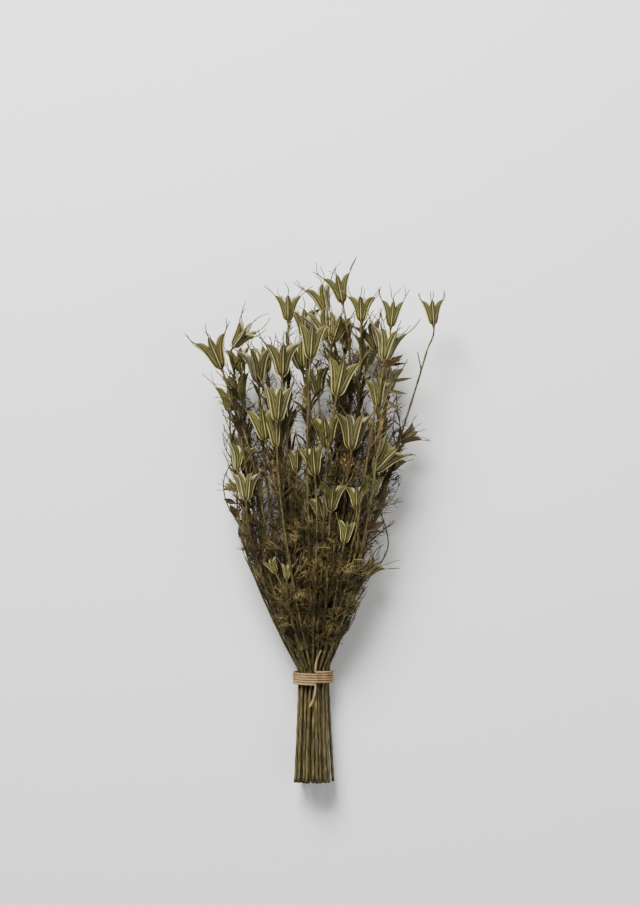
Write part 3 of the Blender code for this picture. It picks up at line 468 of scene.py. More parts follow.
def settle(strands):
    """Give each strand its line of points and each head its foot and axis."""
    x, z = relax(strands)
    for i, strand in enumerate(strands):
        one = strand["head"]
        ys = [y for y in LEVELS if strand["start"] - 0.1 <= y < one["y"] - 2.0]
        line = [Vector((np.interp(y, LEVELS, x[i]), y, np.interp(y, LEVELS, z[i])))
                for y in ys]
        foot = Vector((np.interp(one["y"], LEVELS, x[i]), one["y"],
                       np.interp(one["y"], LEVELS, z[i])))
        line.append(foot)
        lean = math.radians(one["lean"])
        pitch = math.radians(one["pitch"])
        axis = Vector((math.sin(lean) * math.cos(pitch), math.cos(lean) * math.cos(pitch),
                       math.sin(pitch)))
        strand["line"] = line
        strand["drawn"] = simplify(line, STEM_TOLERANCE)
        strand["foot"] = foot
        strand["axis"] = axis


def add_node(tree, kind, settings=None, inputs=None):
    """Node of this kind in the tree, with its settings and its unlinked inputs set."""
    made = tree.nodes.new(kind)
    for name, value in (settings or {}).items():
        setattr(made, name, value)
    for name, value in (inputs or {}).items():
        made.inputs[name].default_value = value
    return made


def add_ramp(tree, factor, stops):
    """Colour ramp through these (place, colour) stops, fed by the factor."""
    ramp = tree.nodes.new("ShaderNodeValToRGB")
    bar = ramp.color_ramp
    while len(bar.elements) < len(stops):
        bar.elements.new(0.5)
    for element, (place, colour) in zip(bar.elements, stops):
        element.position = place
        element.color = (*colour, 1.0)
    tree.links.new(factor, ramp.inputs["Fac"])
    return ramp.outputs["Color"]


def mix_colours(tree, blend, factor, first, second):
    """Mix of two colours; the factor is a socket or a number."""
    mix = add_node(tree, "ShaderNodeMix", {"data_type": "RGBA", "blend_type": blend})
    for value, name in ((factor, 0), (first, 6), (second, 7)):
        if isinstance(value, bpy.types.NodeSocket):
            tree.links.new(value, mix.inputs[name])
        elif name:
            mix.inputs[name].default_value = (*value, 1.0)
        else:
            mix.inputs[name].default_value = value
    return mix.outputs[2]


def make_dry_fibres():
    """Node group: blotches and long fibres of dry plant matter, on Object coordinates."""
    group = bpy.data.node_groups.new("dry_fibres", "ShaderNodeTree")
    side = group.interface
    side.new_socket("Stretch", in_out="INPUT", socket_type="NodeSocketVector")
    side.new_socket("Blotch Size", in_out="INPUT", socket_type="NodeSocketFloat")
    side.new_socket("Blotches", in_out="OUTPUT", socket_type="NodeSocketFloat")
    side.new_socket("Fibres", in_out="OUTPUT", socket_type="NodeSocketFloat")
    given = group.nodes.new("NodeGroupInput")
    result = group.nodes.new("NodeGroupOutput")
    place = group.nodes.new("ShaderNodeTexCoord")
    drawn_out = add_node(group, "ShaderNodeVectorMath", {"operation": "MULTIPLY"})
    fibres = add_node(group, "ShaderNodeTexNoise", None, {"Scale": 1.0, "Detail": 3.0})
    blotches = add_node(group, "ShaderNodeTexNoise", None, {"Detail": 4.0, "Roughness": 0.6})
    group.links.new(place.outputs["Object"], drawn_out.inputs[0])
    group.links.new(given.outputs["Stretch"], drawn_out.inputs[1])
    group.links.new(drawn_out.outputs[0], fibres.inputs["Vector"])
    group.links.new(place.outputs["Object"], blotches.inputs["Vector"])
    group.links.new(given.outputs["Blotch Size"], blotches.inputs["Scale"])
    group.links.new(blotches.outputs["Fac"], result.inputs["Blotches"])
    group.links.new(fibres.outputs["Fac"], result.inputs["Fibres"])
    return group


def new_material(name):
    """Material with its shader, ready for nodes."""
    material = bpy.data.materials.new(name)
    material.use_nodes = True
    return material, material.node_tree, material.node_tree.nodes["Principled BSDF"]


def add_fibres(tree, shader, stretch, blotch_size, depth):
    """The dry plant matter's noise in the tree, its fibres raised by depth in metres."""
    noise = add_node(tree, "ShaderNodeGroup", {"node_tree": dry_fibres},
                     {"Stretch": stretch, "Blotch Size": blotch_size})
    bump = add_node(tree, "ShaderNodeBump", None, {"Strength": 1.0, "Distance": depth})
    tree.links.new(noise.outputs["Fibres"], bump.inputs["Height"])
    tree.links.new(bump.outputs["Normal"], shader.inputs["Normal"])
    return noise


def dry_material(name, stretch, blotch_size, blotch_colours, fibre_colours=None,
                 roughness=0.6, depth=0.0001, specular=0.5):
    """Dry plant matter: coloured in blotches, and by its fibres where they have colours."""
    material, tree, shader = new_material(name)
    noise = add_fibres(tree, shader, stretch, blotch_size, depth)
    colour = add_ramp(tree, noise.outputs["Blotches"], blotch_colours)
    if fibre_colours:
        fibres = add_ramp(tree, noise.outputs["Fibres"], fibre_colours)
        colour = mix_colours(tree, "MULTIPLY", 1.0, colour, fibres)
    tree.links.new(colour, shader.inputs["Base Color"])
    shader.inputs["Roughness"].default_value = roughness
    shader.inputs["Specular IOR Level"].default_value = specular
    return material


dry_fibres = make_dry_fibres()


def stem_line(strand):
    """Points and radii of a stem from its cut end, or its fork, to its head."""
    one = strand["head"]
    foot = strand["foot"]
    axis = strand["axis"]
    line = [point for point in strand["line"] if point.y < one["y"] - SMOOTH_ABOVE]
    points = list(line)
    radii = []
    for point in line:
        radius = STEM_RADIUS_CUT + (STEM_RADIUS_HEAD - STEM_RADIUS_CUT) * (
            (point.y - CUT_Y) / (one["y"] - CUT_Y))
        if strand["parent"] >= 0:
            radius = min(radius, BRANCH_RADIUS)
        past_joint = (point.y + JOINT_SHIFT * strand["plant"]) % JOINT_EVERY
        radii.append(SLIM * radius * (JOINT_SWELL if past_joint < JOINT_LENGTH else 1.0))
    last = radii[-1]
    size = COLLAR_LEAST + COLLAR_GROWS * one["body"] / FULL_BODY
    below = foot + axis * (COLLAR[0][0] * size)
    before, end = line[-2], line[-1]
    arriving = (end - before).normalized()
    span = (below - end).length
    for i in range(1, BENDS_OVER):
        t = i / BENDS_OVER
        points.append(Vector([hermite(t, end[k], below[k], arriving[k], axis[k], span)
                              for k in range(3)]))
        radii.append(last)
    for along, swell in COLLAR:
        points.append(foot + axis * (along * size))
        radii.append(swell * size)
    radii[-len(COLLAR)] = last * COLLAR_NARROWS
    return points, radii


def loose_shoots(members):
    """Points and radii of a plant's bare shoots, each from the nearest point of its stem."""
    made = []
    for name, places in LOOSE_SHOOTS:
        for strand in members:
            if strand["name"] == name:
                x, y, z = places[0]
                near = min(strand["line"], key=lambda p: (p.x - x) ** 2 + (p.y - y) ** 2)
                lift = near.z if z == 0.0 else 0.0
                points = [near] + [Vector((x, y, z + lift)) for x, y, z in places[1:]]
                points = rounded(points)
                first, last = LOOSE_SHOOT_RADII
                radii = [first + (last - first) * i / (len(points) - 1)
                         for i in range(len(points))]
                made.append((points, radii))
    return made


def rounded(points):
    """The points of a line with each corner cut twice, so that it bends smoothly."""
    for turn in range(2):
        cut = [points[0]]
        for a, b in zip(points[:-1], points[1:]):
            cut += [a.lerp(b, 0.25), a.lerp(b, 0.75)]
        points = cut + [points[-1]]
    return points


def make_active(piece):
    """Select this piece alone, for the operators that follow."""
    bpy.ops.object.select_all(action="DESELECT")
    piece.select_set(True)
    bpy.context.view_layer.objects.active = piece


def tube(name, splines, sides, material):
    """Mesh of round tubes, each along its points with its radii, in millimetres."""
    curve = bpy.data.curves.new(name, "CURVE")
    curve.dimensions = "3D"
    curve.bevel_depth = MM
    curve.bevel_resolution = sides
    curve.use_fill_caps = True
    for points, radii in splines:
        spline = curve.splines.new("POLY")
        spline.points.add(len(points) - 1)
        spline.points.foreach_set("co", [n for p in points
                                         for n in (p[0] * MM, p[1] * MM, p[2] * MM, 1.0)])
        spline.points.foreach_set("radius", radii)
    piece = bpy.data.objects.new(name, curve)
    bpy.context.collection.objects.link(piece)
    make_active(piece)
    bpy.ops.object.convert(target="MESH")
    piece = bpy.context.object
    bpy.ops.object.mode_set(mode="EDIT")
    bpy.ops.mesh.select_all(action="SELECT")
    bpy.ops.mesh.remove_doubles(threshold=SAME_POINT)
    bpy.ops.object.mode_set(mode="OBJECT")
    bpy.ops.object.shade_smooth()
    piece.data.materials.clear()
    piece.data.materials.append(material)
    return piece


strands = make_strands()
settle(strands)
stem_finish = dry_material("dry_stem", (1500.0, 70.0, 1500.0), 60.0, STEM_BLOTCH_COLOURS,
                           STEM_FIBRE_COLOURS, 0.62, 0.00025, 0.35)
collar_finish = dry_material("rusty_collar", (900.0, 250.0, 900.0), 300.0, COLLAR_COLOURS,
                             None, 0.6, 0.0002)
for plant in range(len(PLANTS)):
    members = [strand for strand in strands if strand["plant"] == plant]
    stalks = tube(f"stem_{plant + 1:02d}_stalks",
                  [stem_line(s) for s in members] + loose_shoots(members),
                  STEM_SIDES, stem_finish)
    stalks.data.materials.append(collar_finish)
    feet = np.array([strand["foot"] for strand in members]) * MM
    axes = np.array([strand["axis"] for strand in members])
    for face in stalks.data.polygons:
        off = np.array(face.center) - feet
        along = (off * axes).sum(1)
        near = np.sqrt((off ** 2).sum(1)) < COLLAR_REACH
        if (near & (along > COLLAR_BELOW)).any():
            face.material_index = 1
    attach(stalks, "root")
    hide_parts(f"stem_{plant + 1:02d}")

# SEED HEADS
# A real head is five or six dry papery follicles, fused below and parted above, each
# with a pale keel, raised nerves, an open slit and a thin beak. One flat grid is shaped
# as a follicle's wall, bent along each follicle's own keel and given its thickness.
LOBE_LENGTH = 1.15       # a lobe's length along its keel, for a body of 1
FUSED_SHARE = 0.42       # where the lobes part
KEEL_AT = [0.0, 0.10, 0.25, 0.42, 0.72]      # shares of a lobe's length
KEEL_TURN = [88.0, 56.0, 16.0, 13.0]         # degrees from the head's axis there
FLARE = 38.0             # degrees from the head's axis at a lobe's top
FLARE_AT_SIDE = 0.62     # share of it at the last place of KEEL_AT
FLARE_VARIES = 11.0      # degrees, from lobe to lobe
CURL = 26.0              # degrees that a beak bends by, in these shares: most bend inwards
CURL_SHARES = (-1.7, 0.9)
FLARE_SHARES = (0.75, 1.15)
BEAK_SHARES = (0.85, 1.15)
SPINS = 6                # turns of a head that are tried, and sizes of its foot
SHRINK = 0.93
HEAD_GAP = 0.4           # millimetres kept free round each lobe
# Balls that stand for a head while room is sought, in shares of a lobe's length
LOBE_BALLS_AT = [0.46, 0.6, 0.73, 0.86, 0.94, 1.0]
LOBE_BALLS = [0.085, 0.085, 0.085, 0.075, 0.05, 0.035]
BEAK_BALLS_AT = [0.25, 0.5, 0.75, 1.0]       # shares of the beak
BEAK_BALL = 0.8                              # millimetres
FOOT_BALLS_AT = [0.16, 0.28, 0.38]
FOOT_BALLS = [0.16, 0.22, 0.25]
STRIP_COLUMNS = 16
# Across half a wall, from its keel to its edge: the way round, and the raised nerves
KEEL_OUT = [0.0, 0.06, 0.13, 0.24, 0.36, 0.48, 0.62, 0.78, 1.0]
NERVE = [0.0, 0.0, 0.0, 1.0, 0.0, 1.0, 0.0, 0.8, 0.0]
# Rows of points along the keel, in shares of the lobe and then of the beak
BODY_ROWS = [0.0, 0.05, 0.12, 0.20, 0.30, 0.42, 0.53, 0.63, 0.73, 0.82, 0.90, 0.96, 1.0]
BEAK_ROWS = [0.25, 0.5, 0.75, 1.0]
STRIP_ROWS = len(BODY_ROWS) + len(BEAK_ROWS) - 1
# A lobe's section along its keel, in shares of its length
SECTION_AT = [0.0, 0.05, 0.12, 0.28, 0.45, 0.70, 0.87, 0.94, 1.0]
SECTION_HALF_WIDTH = [0.025, 0.055, 0.085, 0.108, 0.104, 0.090, 0.062, 0.036, 0.016]
SECTION_DEPTH = [0.05, 0.07, 0.12, 0.18, 0.20, 0.19, 0.145, 0.080, 0.030]
# How wide its slit is open, as a share of its half width
SLIT_AT = [0.0, 0.45, 0.60, 0.76, 0.90, 0.97, 1.0]
SLIT_OPEN = [0.02, 0.05, 0.40, 0.62, 0.70, 0.35, 0.05]
KEEL_RISE = 0.020        # shares of the lobe's length
NERVE_RISE = 0.009
KEEL_NARROW = 0.05       # share of the way round
KEEL_STARTS = 0.08       # shares of the lobe, from its foot and from its top
NERVES_END = 0.1
KEEL_ON_BEAK = 0.25      # of its rise
FUSED_INSIDE = 0.02      # a fused wall stays this share of the length off the axis
FUSED_LEAST = 0.25       # and is this deep at least
NEIGHBOUR = 0.985        # share of its sector that a wall may fill, below its top
SECTOR_TO = 0.95
WALL = 0.36              # thickness of the papery wall
BEAK_WALL = 0.35         # share of it in the beak
BEAK_TIP = 1.25          # depth of the beak, before it narrows by this share
BEAK_NARROWS = 0.5
BEAK_TAPER = 1.1
WIDE = (0.92, 1.1)       # how lobes vary in width
HOOK = 0.45              # sideways, as shares of the beak
KINK = 0.12
WALL_CREASE = 50.0       # degrees, the least that shows as an edge
OFF_TABLE = 0.25
INSIDE_BOX = 0.05        # no wall comes nearer to the sides of the CAD model's box
HEAD_SEED = 5
# How brown a head is, from olive to brown: those that differ from the rest
TONES = {"24": 0.9, "28": 1.0, "29": 0.9, "35": 1.0, "43": 0.7, "45": 0.8, "33": 0.5,
         "25": 0.5, "26": 1.0, "3": -0.3}
OTHER_TONES = (-0.1, 0.4)
# Colours round the wall: keel, groove, then nerves between olive or brown strips. The near-black
# grooves beside the keel and just past the first two nerves are painted shade in those hollows
STRIPES_AT = [0.0, 0.03, 0.06, 0.14, 0.20, 0.24, 0.28, 0.43, 0.48, 0.52, 0.73, 0.78, 0.83,
              0.96, 1.0]
GREEN_STRIPES_GROOVE_SHADE = [
    (0.62, 0.55, 0.25), (0.46, 0.40, 0.16), (0.014, 0.014, 0.003), (0.07, 0.068, 0.012),
    (0.08, 0.077, 0.015), (0.34, 0.31, 0.105), (0.028, 0.027, 0.005), (0.08, 0.077, 0.015),
    (0.34, 0.31, 0.105), (0.03, 0.029, 0.006), (0.095, 0.089, 0.02), (0.33, 0.30, 0.105),
    (0.12, 0.11, 0.025), (0.20, 0.185, 0.055), (0.52, 0.47, 0.22)]
BROWN_STRIPES_GROOVE_SHADE = [
    (0.38, 0.29, 0.13), (0.30, 0.22, 0.09), (0.02, 0.014, 0.005), (0.055, 0.038, 0.014),
    (0.06, 0.042, 0.016), (0.20, 0.145, 0.06), (0.035, 0.024, 0.009), (0.06, 0.042, 0.016),
    (0.20, 0.145, 0.06), (0.038, 0.027, 0.010), (0.075, 0.052, 0.02), (0.22, 0.16, 0.07),
    (0.12, 0.085, 0.035), (0.15, 0.11, 0.05), (0.30, 0.225, 0.11)]
WALL_BLOTCH_COLOURS = [(0.3, (0.62, 0.58, 0.5)), (0.5, (0.95, 0.95, 0.95)),
                       (0.7, (1.0, 0.96, 0.85))]
WALL_FIBRE_COLOURS = [(0.3, (0.8, 0.8, 0.78)), (0.65, (1.0, 1.0, 1.0))]
# Tints along a lobe, from and to in shares of its length, with their strength at each:
# the rusty foot, the brown beak and its paler end
WALL_TINTS = [(0.01, 0.055, 1.0, 0.0, (0.13, 0.058, 0.012)),
              (0.9, 1.12, 0.0, 0.85, (0.06, 0.038, 0.012)),
              (1.2, 1.5, 0.0, 0.7, (0.11, 0.08, 0.03))]
INSIDE_COLOURS = [(0.3, (0.60, 0.54, 0.32)), (0.7, (0.86, 0.83, 0.66))]


def keel_curve(one, flare, curl, beak):
    """A lobe's keel: shares of its length, distance from the axis, height, direction."""
    length = LOBE_LENGTH * one["body"]
    end = 1.0 + beak / length
    share = np.linspace(0.0, end, 61)
    turn = np.interp(share, KEEL_AT + [1.0, max(end, 1.01)],
                     KEEL_TURN + [FLARE_AT_SIDE * flare, flare, flare + curl])
    turn = np.radians(turn)
    step = share[1] * length
    out = np.concatenate([[0.0], np.cumsum(np.sin(0.5 * (turn[1:] + turn[:-1]))) * step])
    up = np.concatenate([[0.0], np.cumsum(np.cos(0.5 * (turn[1:] + turn[:-1]))) * step])
    return share, out, up, turn


def head_frame(strand):
    """The foot, the axis and two directions across it, the first towards +Z."""
    axis = strand["axis"]
    toward = Vector((0.0, 0.0, 1.0))
    toward = (toward - axis * toward.dot(axis)).normalized()
    return strand["foot"], axis, toward, axis.cross(toward)


def lobe_balls(strand, angle, flare, curl, beak):
    """Balls that fill one lobe from where it parts to the tip of its beak."""
    one = strand["head"]
    foot, axis, toward, across = head_frame(strand)
    share, out, up, turn = keel_curve(one, flare, curl, beak)
    length = LOBE_LENGTH * one["body"]
    spots = LOBE_BALLS_AT + [1.0 + part * (share[-1] - 1.0) for part in BEAK_BALLS_AT]
    sizes = LOBE_BALLS + [BEAK_BALL / length] * len(BEAK_BALLS_AT)
    outward = toward * math.cos(angle) + across * math.sin(angle)
    centres = []
    for spot, size in zip(spots, sizes):
        phi = np.interp(spot, share, turn)
        in_out = -math.cos(phi) * size * length
        in_up = math.sin(phi) * size * length
        centres.append(foot + outward * (np.interp(spot, share, out) + in_out)
                       + axis * (np.interp(spot, share, up) + in_up))
    return np.array(centres), np.array(sizes) * length


def foot_balls(strand):
    """Balls that fill the fused lower half of a head."""
    foot, axis = strand["foot"], strand["axis"]
    length = LOBE_LENGTH * strand["head"]["body"]
    centres = [foot + axis * (spot * length) for spot in FOOT_BALLS_AT]
    return np.array(centres), np.array(FOOT_BALLS) * length


class Room:
    """The balls of everything placed so far, each with the plant that owns it."""

    def __init__(self):
        self.centres = np.zeros((0, 3))
        self.sizes = np.zeros(0)
        self.plants = np.zeros(0, int)

    def add(self, plant, centres, sizes):
        self.centres = np.concatenate([self.centres, centres])
        self.sizes = np.concatenate([self.sizes, sizes])
        self.plants = np.concatenate([self.plants, np.full(len(sizes), plant)])

    def clear(self, plant, centres, sizes, gap):
        """True if the balls keep the gap from every other plant's."""
        others = self.plants != plant
        apart = centres[:, None, :] - self.centres[None, others, :]
        dist = np.sqrt((apart ** 2).sum(2))
        return bool((dist > sizes[:, None] + self.sizes[None, others] + gap).all())


# What a lobe tries until it is clear: shares of its flare, its curl and its beak
LOBE_TRIES = [(1.0, 1.0, 1.0), (0.75, 1.0, 1.0), (1.2, 0.4, 1.0), (0.5, 0.8, 1.0),
              (0.3, 0.5, 0.9), (0.5, -0.6, 0.8), (0.8, 0.5, 0.5), (0.2, 0.0, 0.6),
              (0.5, 0.0, 0.3), (0.0, 0.0, 0.4), (0.1, 0.0, 0.15)]


def place_heads(strands):
    """Turn each head and set each lobe so that no plant runs through another."""
    room = Room()
    draw = random.Random(LAYOUT_SEED)
    for strand in strands:
        ys = np.arange(strand["start"], strand["foot"].y, 2.0)
        line = strand["drawn"]
        own = [point.y for point in line]
        centres = np.stack([np.interp(ys, own, [point.x for point in line]), ys,
                            np.interp(ys, own, [point.z for point in line])], 1)
        room.add(strand["plant"], centres, 1.1 * stem_radius(strand, ys))
    for strand in strands:
        one = dict(strand["head"])
        strand["head"] = one
        for attempt in range(SPINS):
            if room.clear(strand["plant"], *foot_balls(strand), HEAD_GAP):
                break
            one["body"] *= SHRINK
        room.add(strand["plant"], *foot_balls(strand))
    for strand in sorted(strands, key=lambda s: -s["foot"].z):
        one = strand["head"]
        lobes = one["lobes"]
        flare = draw.uniform(*FLARE_SHARES) * FLARE
        angles = [draw.uniform(-FLARE_VARIES, FLARE_VARIES) for lobe in range(lobes)]
        curls = [draw.uniform(*CURL_SHARES) * CURL for lobe in range(lobes)]
        beaks = [draw.uniform(*BEAK_SHARES) * one["beak"] for lobe in range(lobes)]
        best = None
        for spin in range(SPINS):
            turn = 2.0 * math.pi / lobes * spin / SPINS
            free = 0
            for lobe in range(lobes):
                balls = lobe_balls(strand, turn + 2.0 * math.pi * lobe / lobes,
                                   flare + angles[lobe], curls[lobe], beaks[lobe])
                free += room.clear(strand["plant"], *balls, HEAD_GAP)
            if best is None or free > best[0]:
                best = (free, turn)
        strand["lobes"] = []
        for lobe in range(lobes):
            angle = best[1] + 2.0 * math.pi * lobe / lobes
            for flare_part, curl_part, beak_part in LOBE_TRIES:
                shape = (angle, (flare + angles[lobe]) * flare_part,
                         curls[lobe] * curl_part, beaks[lobe] * beak_part)
                balls = lobe_balls(strand, *shape)
                if room.clear(strand["plant"], *balls, HEAD_GAP):
                    break
            strand["lobes"].append(shape)
            room.add(strand["plant"], *balls)
    return room


def shape_of(primitive):
    """Points and faces of a primitive, which is then removed."""
    points = np.array([tuple(vert.co) for vert in primitive.data.vertices])
    faces = [tuple(face.vertices) for face in primitive.data.polygons]
    bpy.data.objects.remove(primitive)
    return points, faces


def flat_grid(columns, rows):
    """Points and faces of a flat grid, from -1 to 1 each way."""
    bpy.ops.object.select_all(action="DESELECT")
    bpy.ops.mesh.primitive_grid_add(x_subdivisions=columns, y_subdivisions=rows, size=2.0,
                                    location=(0, 0, 0))
    points, faces = shape_of(bpy.context.object)
    return points, np.array(faces)


def mesh_piece(name, points, faces, finish):
    """Piece with these points in millimetres, selected for the operators that follow."""
    mesh = bpy.data.meshes.new(name)
    mesh.from_pydata((points * MM).tolist(), [], faces)
    mesh.materials.append(finish)
    piece = bpy.data.objects.new(name, mesh)
    bpy.context.collection.objects.link(piece)
    make_active(piece)
    return piece


def mark_ripeness(piece, tones):
    """Number for each point that the piece's material turns from olive to brown by."""
    layer = piece.data.attributes.new("ripeness", "FLOAT", "POINT")
    layer.data.foreach_set("value", tones)


# The grid's columns run round a follicle's wall, and its rows up the keel
strip_points, strip_faces = flat_grid(STRIP_COLUMNS, STRIP_ROWS)
column = np.rint(strip_points[:, 0] * STRIP_COLUMNS / 2).astype(int)
row = np.rint((strip_points[:, 1] + 1.0) * STRIP_ROWS / 2).astype(int)
around = np.array(KEEL_OUT)[np.abs(column)] * np.sign(column)
nerve = np.array(NERVE)[np.abs(column)] * np.sign(column)
body_part = np.array(BODY_ROWS + [1.0] * len(BEAK_ROWS))[row]
beak_part = np.array([0.0] * len(BODY_ROWS) + BEAK_ROWS)[row]


def follicle(strand, shape, wide, hook, kink):
    """One follicle's wall: its points, and the share of the keel that each one is at."""
    one = strand["head"]
    foot, axis, toward, across = head_frame(strand)
    angle, flare, curl, beak = shape
    share, out, up, turn = keel_curve(one, flare, curl, beak)
    length = LOBE_LENGTH * one["body"]
    s = body_part + beak_part * (share[-1] - 1.0)
    keel_out = np.interp(s, share, out)
    keel_up = np.interp(s, share, up)
    phi = np.interp(s, share, turn)
    deep = np.interp(body_part, SECTION_AT, SECTION_DEPTH) * length
    half = np.interp(body_part, SECTION_AT, SECTION_HALF_WIDTH) * length * wide
    thin = (1.0 - beak_part) ** BEAK_TAPER
    tip = BEAK_TIP * (1.0 - thin) * (1.0 - BEAK_NARROWS * beak_part)
    deep = deep * thin + tip
    half = half * thin + 0.5 * tip
    to_axis = np.maximum(keel_out - FUSED_INSIDE * length, FUSED_LEAST)
    deep = np.where(body_part < FUSED_SHARE, np.minimum(deep, to_axis), deep)
    size = np.abs(around)
    inward = deep * size
    belly = np.sin(0.5 * math.pi * np.minimum(size / 0.5, 1.0))
    close = np.cos(0.5 * math.pi * np.clip((size - 0.5) / 0.5, 0.0, 1.0))
    slit = np.interp(body_part, SLIT_AT, SLIT_OPEN) * half
    aside = np.where(size <= 0.5, half * belly, slit + (half - slit) * close)
    sector = np.maximum(keel_out - inward * np.cos(phi), 0.02)
    sector = sector * math.tan(math.pi / one["lobes"])
    aside = np.where(body_part < SECTOR_TO, np.minimum(aside, NEIGHBOUR * sector), aside)
    body = np.clip((1.0 - body_part) / NERVES_END, 0.0, 1.0)
    aside = aside * np.sign(around) + nerve * NERVE_RISE * length * body
    ridge = KEEL_RISE * length * np.exp(-(size / KEEL_NARROW) ** 2)
    ridge = ridge * np.clip(s / KEEL_STARTS, 0.0, 1.0)
    inward = inward - ridge * (KEEL_ON_BEAK + (1.0 - KEEL_ON_BEAK) * body)
    aside = aside + beak * (hook * beak_part ** 2 + kink * np.sin(1.5 * math.pi * beak_part))
    outward = toward * math.cos(angle) + across * math.sin(angle)
    tangent = across * math.cos(angle) - toward * math.sin(angle)
    places = (np.array(foot) + np.outer(keel_out - inward * np.cos(phi), outward)
              + np.outer(aside, tangent) + np.outer(keel_up + inward * np.sin(phi), axis))
    return places, s


def make_walls(name, members, draw):
    """All the follicles of a plant's heads as one mesh, with wall, inside and slits."""
    points = []
    faces = []
    marks = []
    tones = []
    for strand in members:
        tone = TONES.get(strand["name"], draw.uniform(*OTHER_TONES))
        for shape in strand["lobes"]:
            places, s = follicle(strand, shape, draw.uniform(*WIDE),
                                 draw.uniform(-HOOK, HOOK), draw.uniform(-KINK, KINK))
            faces.append(strip_faces + len(strip_points) * len(points))
            points.append(places)
            marks.append(np.stack([s, np.abs(around), np.full(len(s), draw.random())], 1))
            tones.append(np.full(len(s), tone))
    points = np.concatenate(points)
    points[:, 2] = np.maximum(points[:, 2], OFF_TABLE)
    marks = np.concatenate(marks)
    piece = mesh_piece(name, points, np.concatenate(faces).tolist(), wall_finish)
    piece.data.materials.append(inner_finish)
    layer = piece.data.attributes.new("follicle", "FLOAT_VECTOR", "POINT")
    layer.data.foreach_set("vector", marks.ravel())
    mark_ripeness(piece, np.concatenate(tones))
    group = piece.vertex_groups.new(name="wall")
    in_beak = marks[:, 0] > 1.0
    group.add(np.flatnonzero(~in_beak).tolist(), 1.0, "REPLACE")
    group.add(np.flatnonzero(in_beak).tolist(), BEAK_WALL, "REPLACE")
    wall = piece.modifiers.new("wall", "SOLIDIFY")
    wall.thickness = WALL * MM
    wall.offset = -1.0
    wall.vertex_group = "wall"
    wall.material_offset = 1
    wall.use_quality_normals = True
    bpy.ops.object.modifier_apply(modifier="wall")
    low = [n + INSIDE_BOX * MM for n in cad_box[0]]
    high = [n - INSIDE_BOX * MM for n in cad_box[1]]
    for vert in piece.data.vertices:
        vert.co = [min(max(n, low[k]), high[k]) for k, n in enumerate(vert.co)]
    bpy.ops.object.shade_smooth_by_angle(angle=math.radians(WALL_CREASE))
    return piece


def wall_material():
    """Outside of a follicle: pale keel and nerves, painted shade in the grooves beside them,
    olive between, rusty foot, brown beak.
    """
    material, tree, shader = new_material("follicle_wall")
    mark = add_node(tree, "ShaderNodeAttribute", {"attribute_name": "follicle"})
    ripe = add_node(tree, "ShaderNodeAttribute", {"attribute_name": "ripeness"})
    split = tree.nodes.new("ShaderNodeSeparateXYZ")
    tree.links.new(mark.outputs["Vector"], split.inputs[0])
    noise = add_fibres(tree, shader, (900.0, 200.0, 900.0), 220.0, 0.0002)
    # These stripe ramps include painted shade: near-black grooves beside the keel and nerves
    green = add_ramp(tree, split.outputs["Y"], list(zip(STRIPES_AT, GREEN_STRIPES_GROOVE_SHADE)))
    brown = add_ramp(tree, split.outputs["Y"], list(zip(STRIPES_AT, BROWN_STRIPES_GROOVE_SHADE)))
    jitter = add_node(tree, "ShaderNodeMath", {"operation": "MULTIPLY_ADD"}, {1: 0.5, 2: -0.25})
    tree.links.new(noise.outputs["Blotches"], jitter.inputs[0])
    turned = add_node(tree, "ShaderNodeMath", {"operation": "ADD", "use_clamp": True})
    tree.links.new(ripe.outputs["Fac"], turned.inputs[0])
    tree.links.new(jitter.outputs[0], turned.inputs[1])
    colour = mix_colours(tree, "MIX", turned.outputs[0], green, brown)
    patches = add_ramp(tree, noise.outputs["Blotches"], WALL_BLOTCH_COLOURS)
    colour = mix_colours(tree, "MULTIPLY", 1.0, colour, patches)
    fibres = add_ramp(tree, noise.outputs["Fibres"], WALL_FIBRE_COLOURS)
    colour = mix_colours(tree, "MULTIPLY", 1.0, colour, fibres)
    for start, end, at_start, at_end, tint in WALL_TINTS:
        share = add_node(tree, "ShaderNodeMapRange", None,
                         {1: start, 2: end, 3: at_start, 4: at_end})
        tree.links.new(split.outputs["X"], share.inputs[0])
        colour = mix_colours(tree, "MIX", share.outputs[0], colour, tint)
    tree.links.new(colour, shader.inputs["Base Color"])
    shader.inputs["Roughness"].default_value = 0.44
    shader.inputs["Specular IOR Level"].default_value = 0.4
    return material


place_heads(strands)
wall_finish = wall_material()
inner_finish = dry_material("follicle_inside", (700.0, 120.0, 700.0), 160.0, INSIDE_COLOURS,
                            None, 0.45)
head_draw = random.Random(HEAD_SEED)
for plant in range(len(PLANTS)):
    members = [strand for strand in strands if strand["plant"] == plant]
    heads = make_walls(f"stem_{plant + 1:02d}_heads", members, head_draw)
    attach(heads, "root")
    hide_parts(f"stem_{plant + 1:02d}")

# LEAVES
# Each leaf is a thin dry midrib with pairs of curled thread-like side parts, growing
# along a stem. They fill the bunch below the heads and thin out towards them.
LEAF_SEED = 11
LEAVES_FROM_Y = 16.0
LEAVES_ABOVE_FORK = 8.0
LEAVES_END_BELOW_HEAD = 15.0
LEAF_EVERY = 6.0
LEAVES_CLOSE = 0.7               # share of that near the tie
LEAVES_THIN_OUT = 1.5            # how much further apart they are at the heads
LEAVES_CHANGE_FROM_Y = 40.0      # and between what heights that changes
LEAVES_CHANGE_OVER = 200.0
LEAF_OPENS = (12.0, 50.0)        # degrees off the stem
LEAF_CLOSES = (-0.9, 0.6)        # radians, over its length
LEAF_LOW = (30.0, 52.0)          # lengths near the tie
LEAF_HIGH = (20.0, 38.0)         # lengths near the heads
THREAD_LENGTH = (9.0, 20.0)      # side threads of a leaf 40 mm long
THREAD_OPENS = (18.0, 55.0)
THREAD_CLOSES = (-1.3, 1.1)
THREADS_MISSING = 0.12           # share of them
FORKS = 0.3                      # share of the side threads with a twig
TWIG_OPENS = (20.0, 50.0)
TWIG_CLOSES = (-0.4, 0.4)
TWIG_LENGTH = 0.6                # of its thread
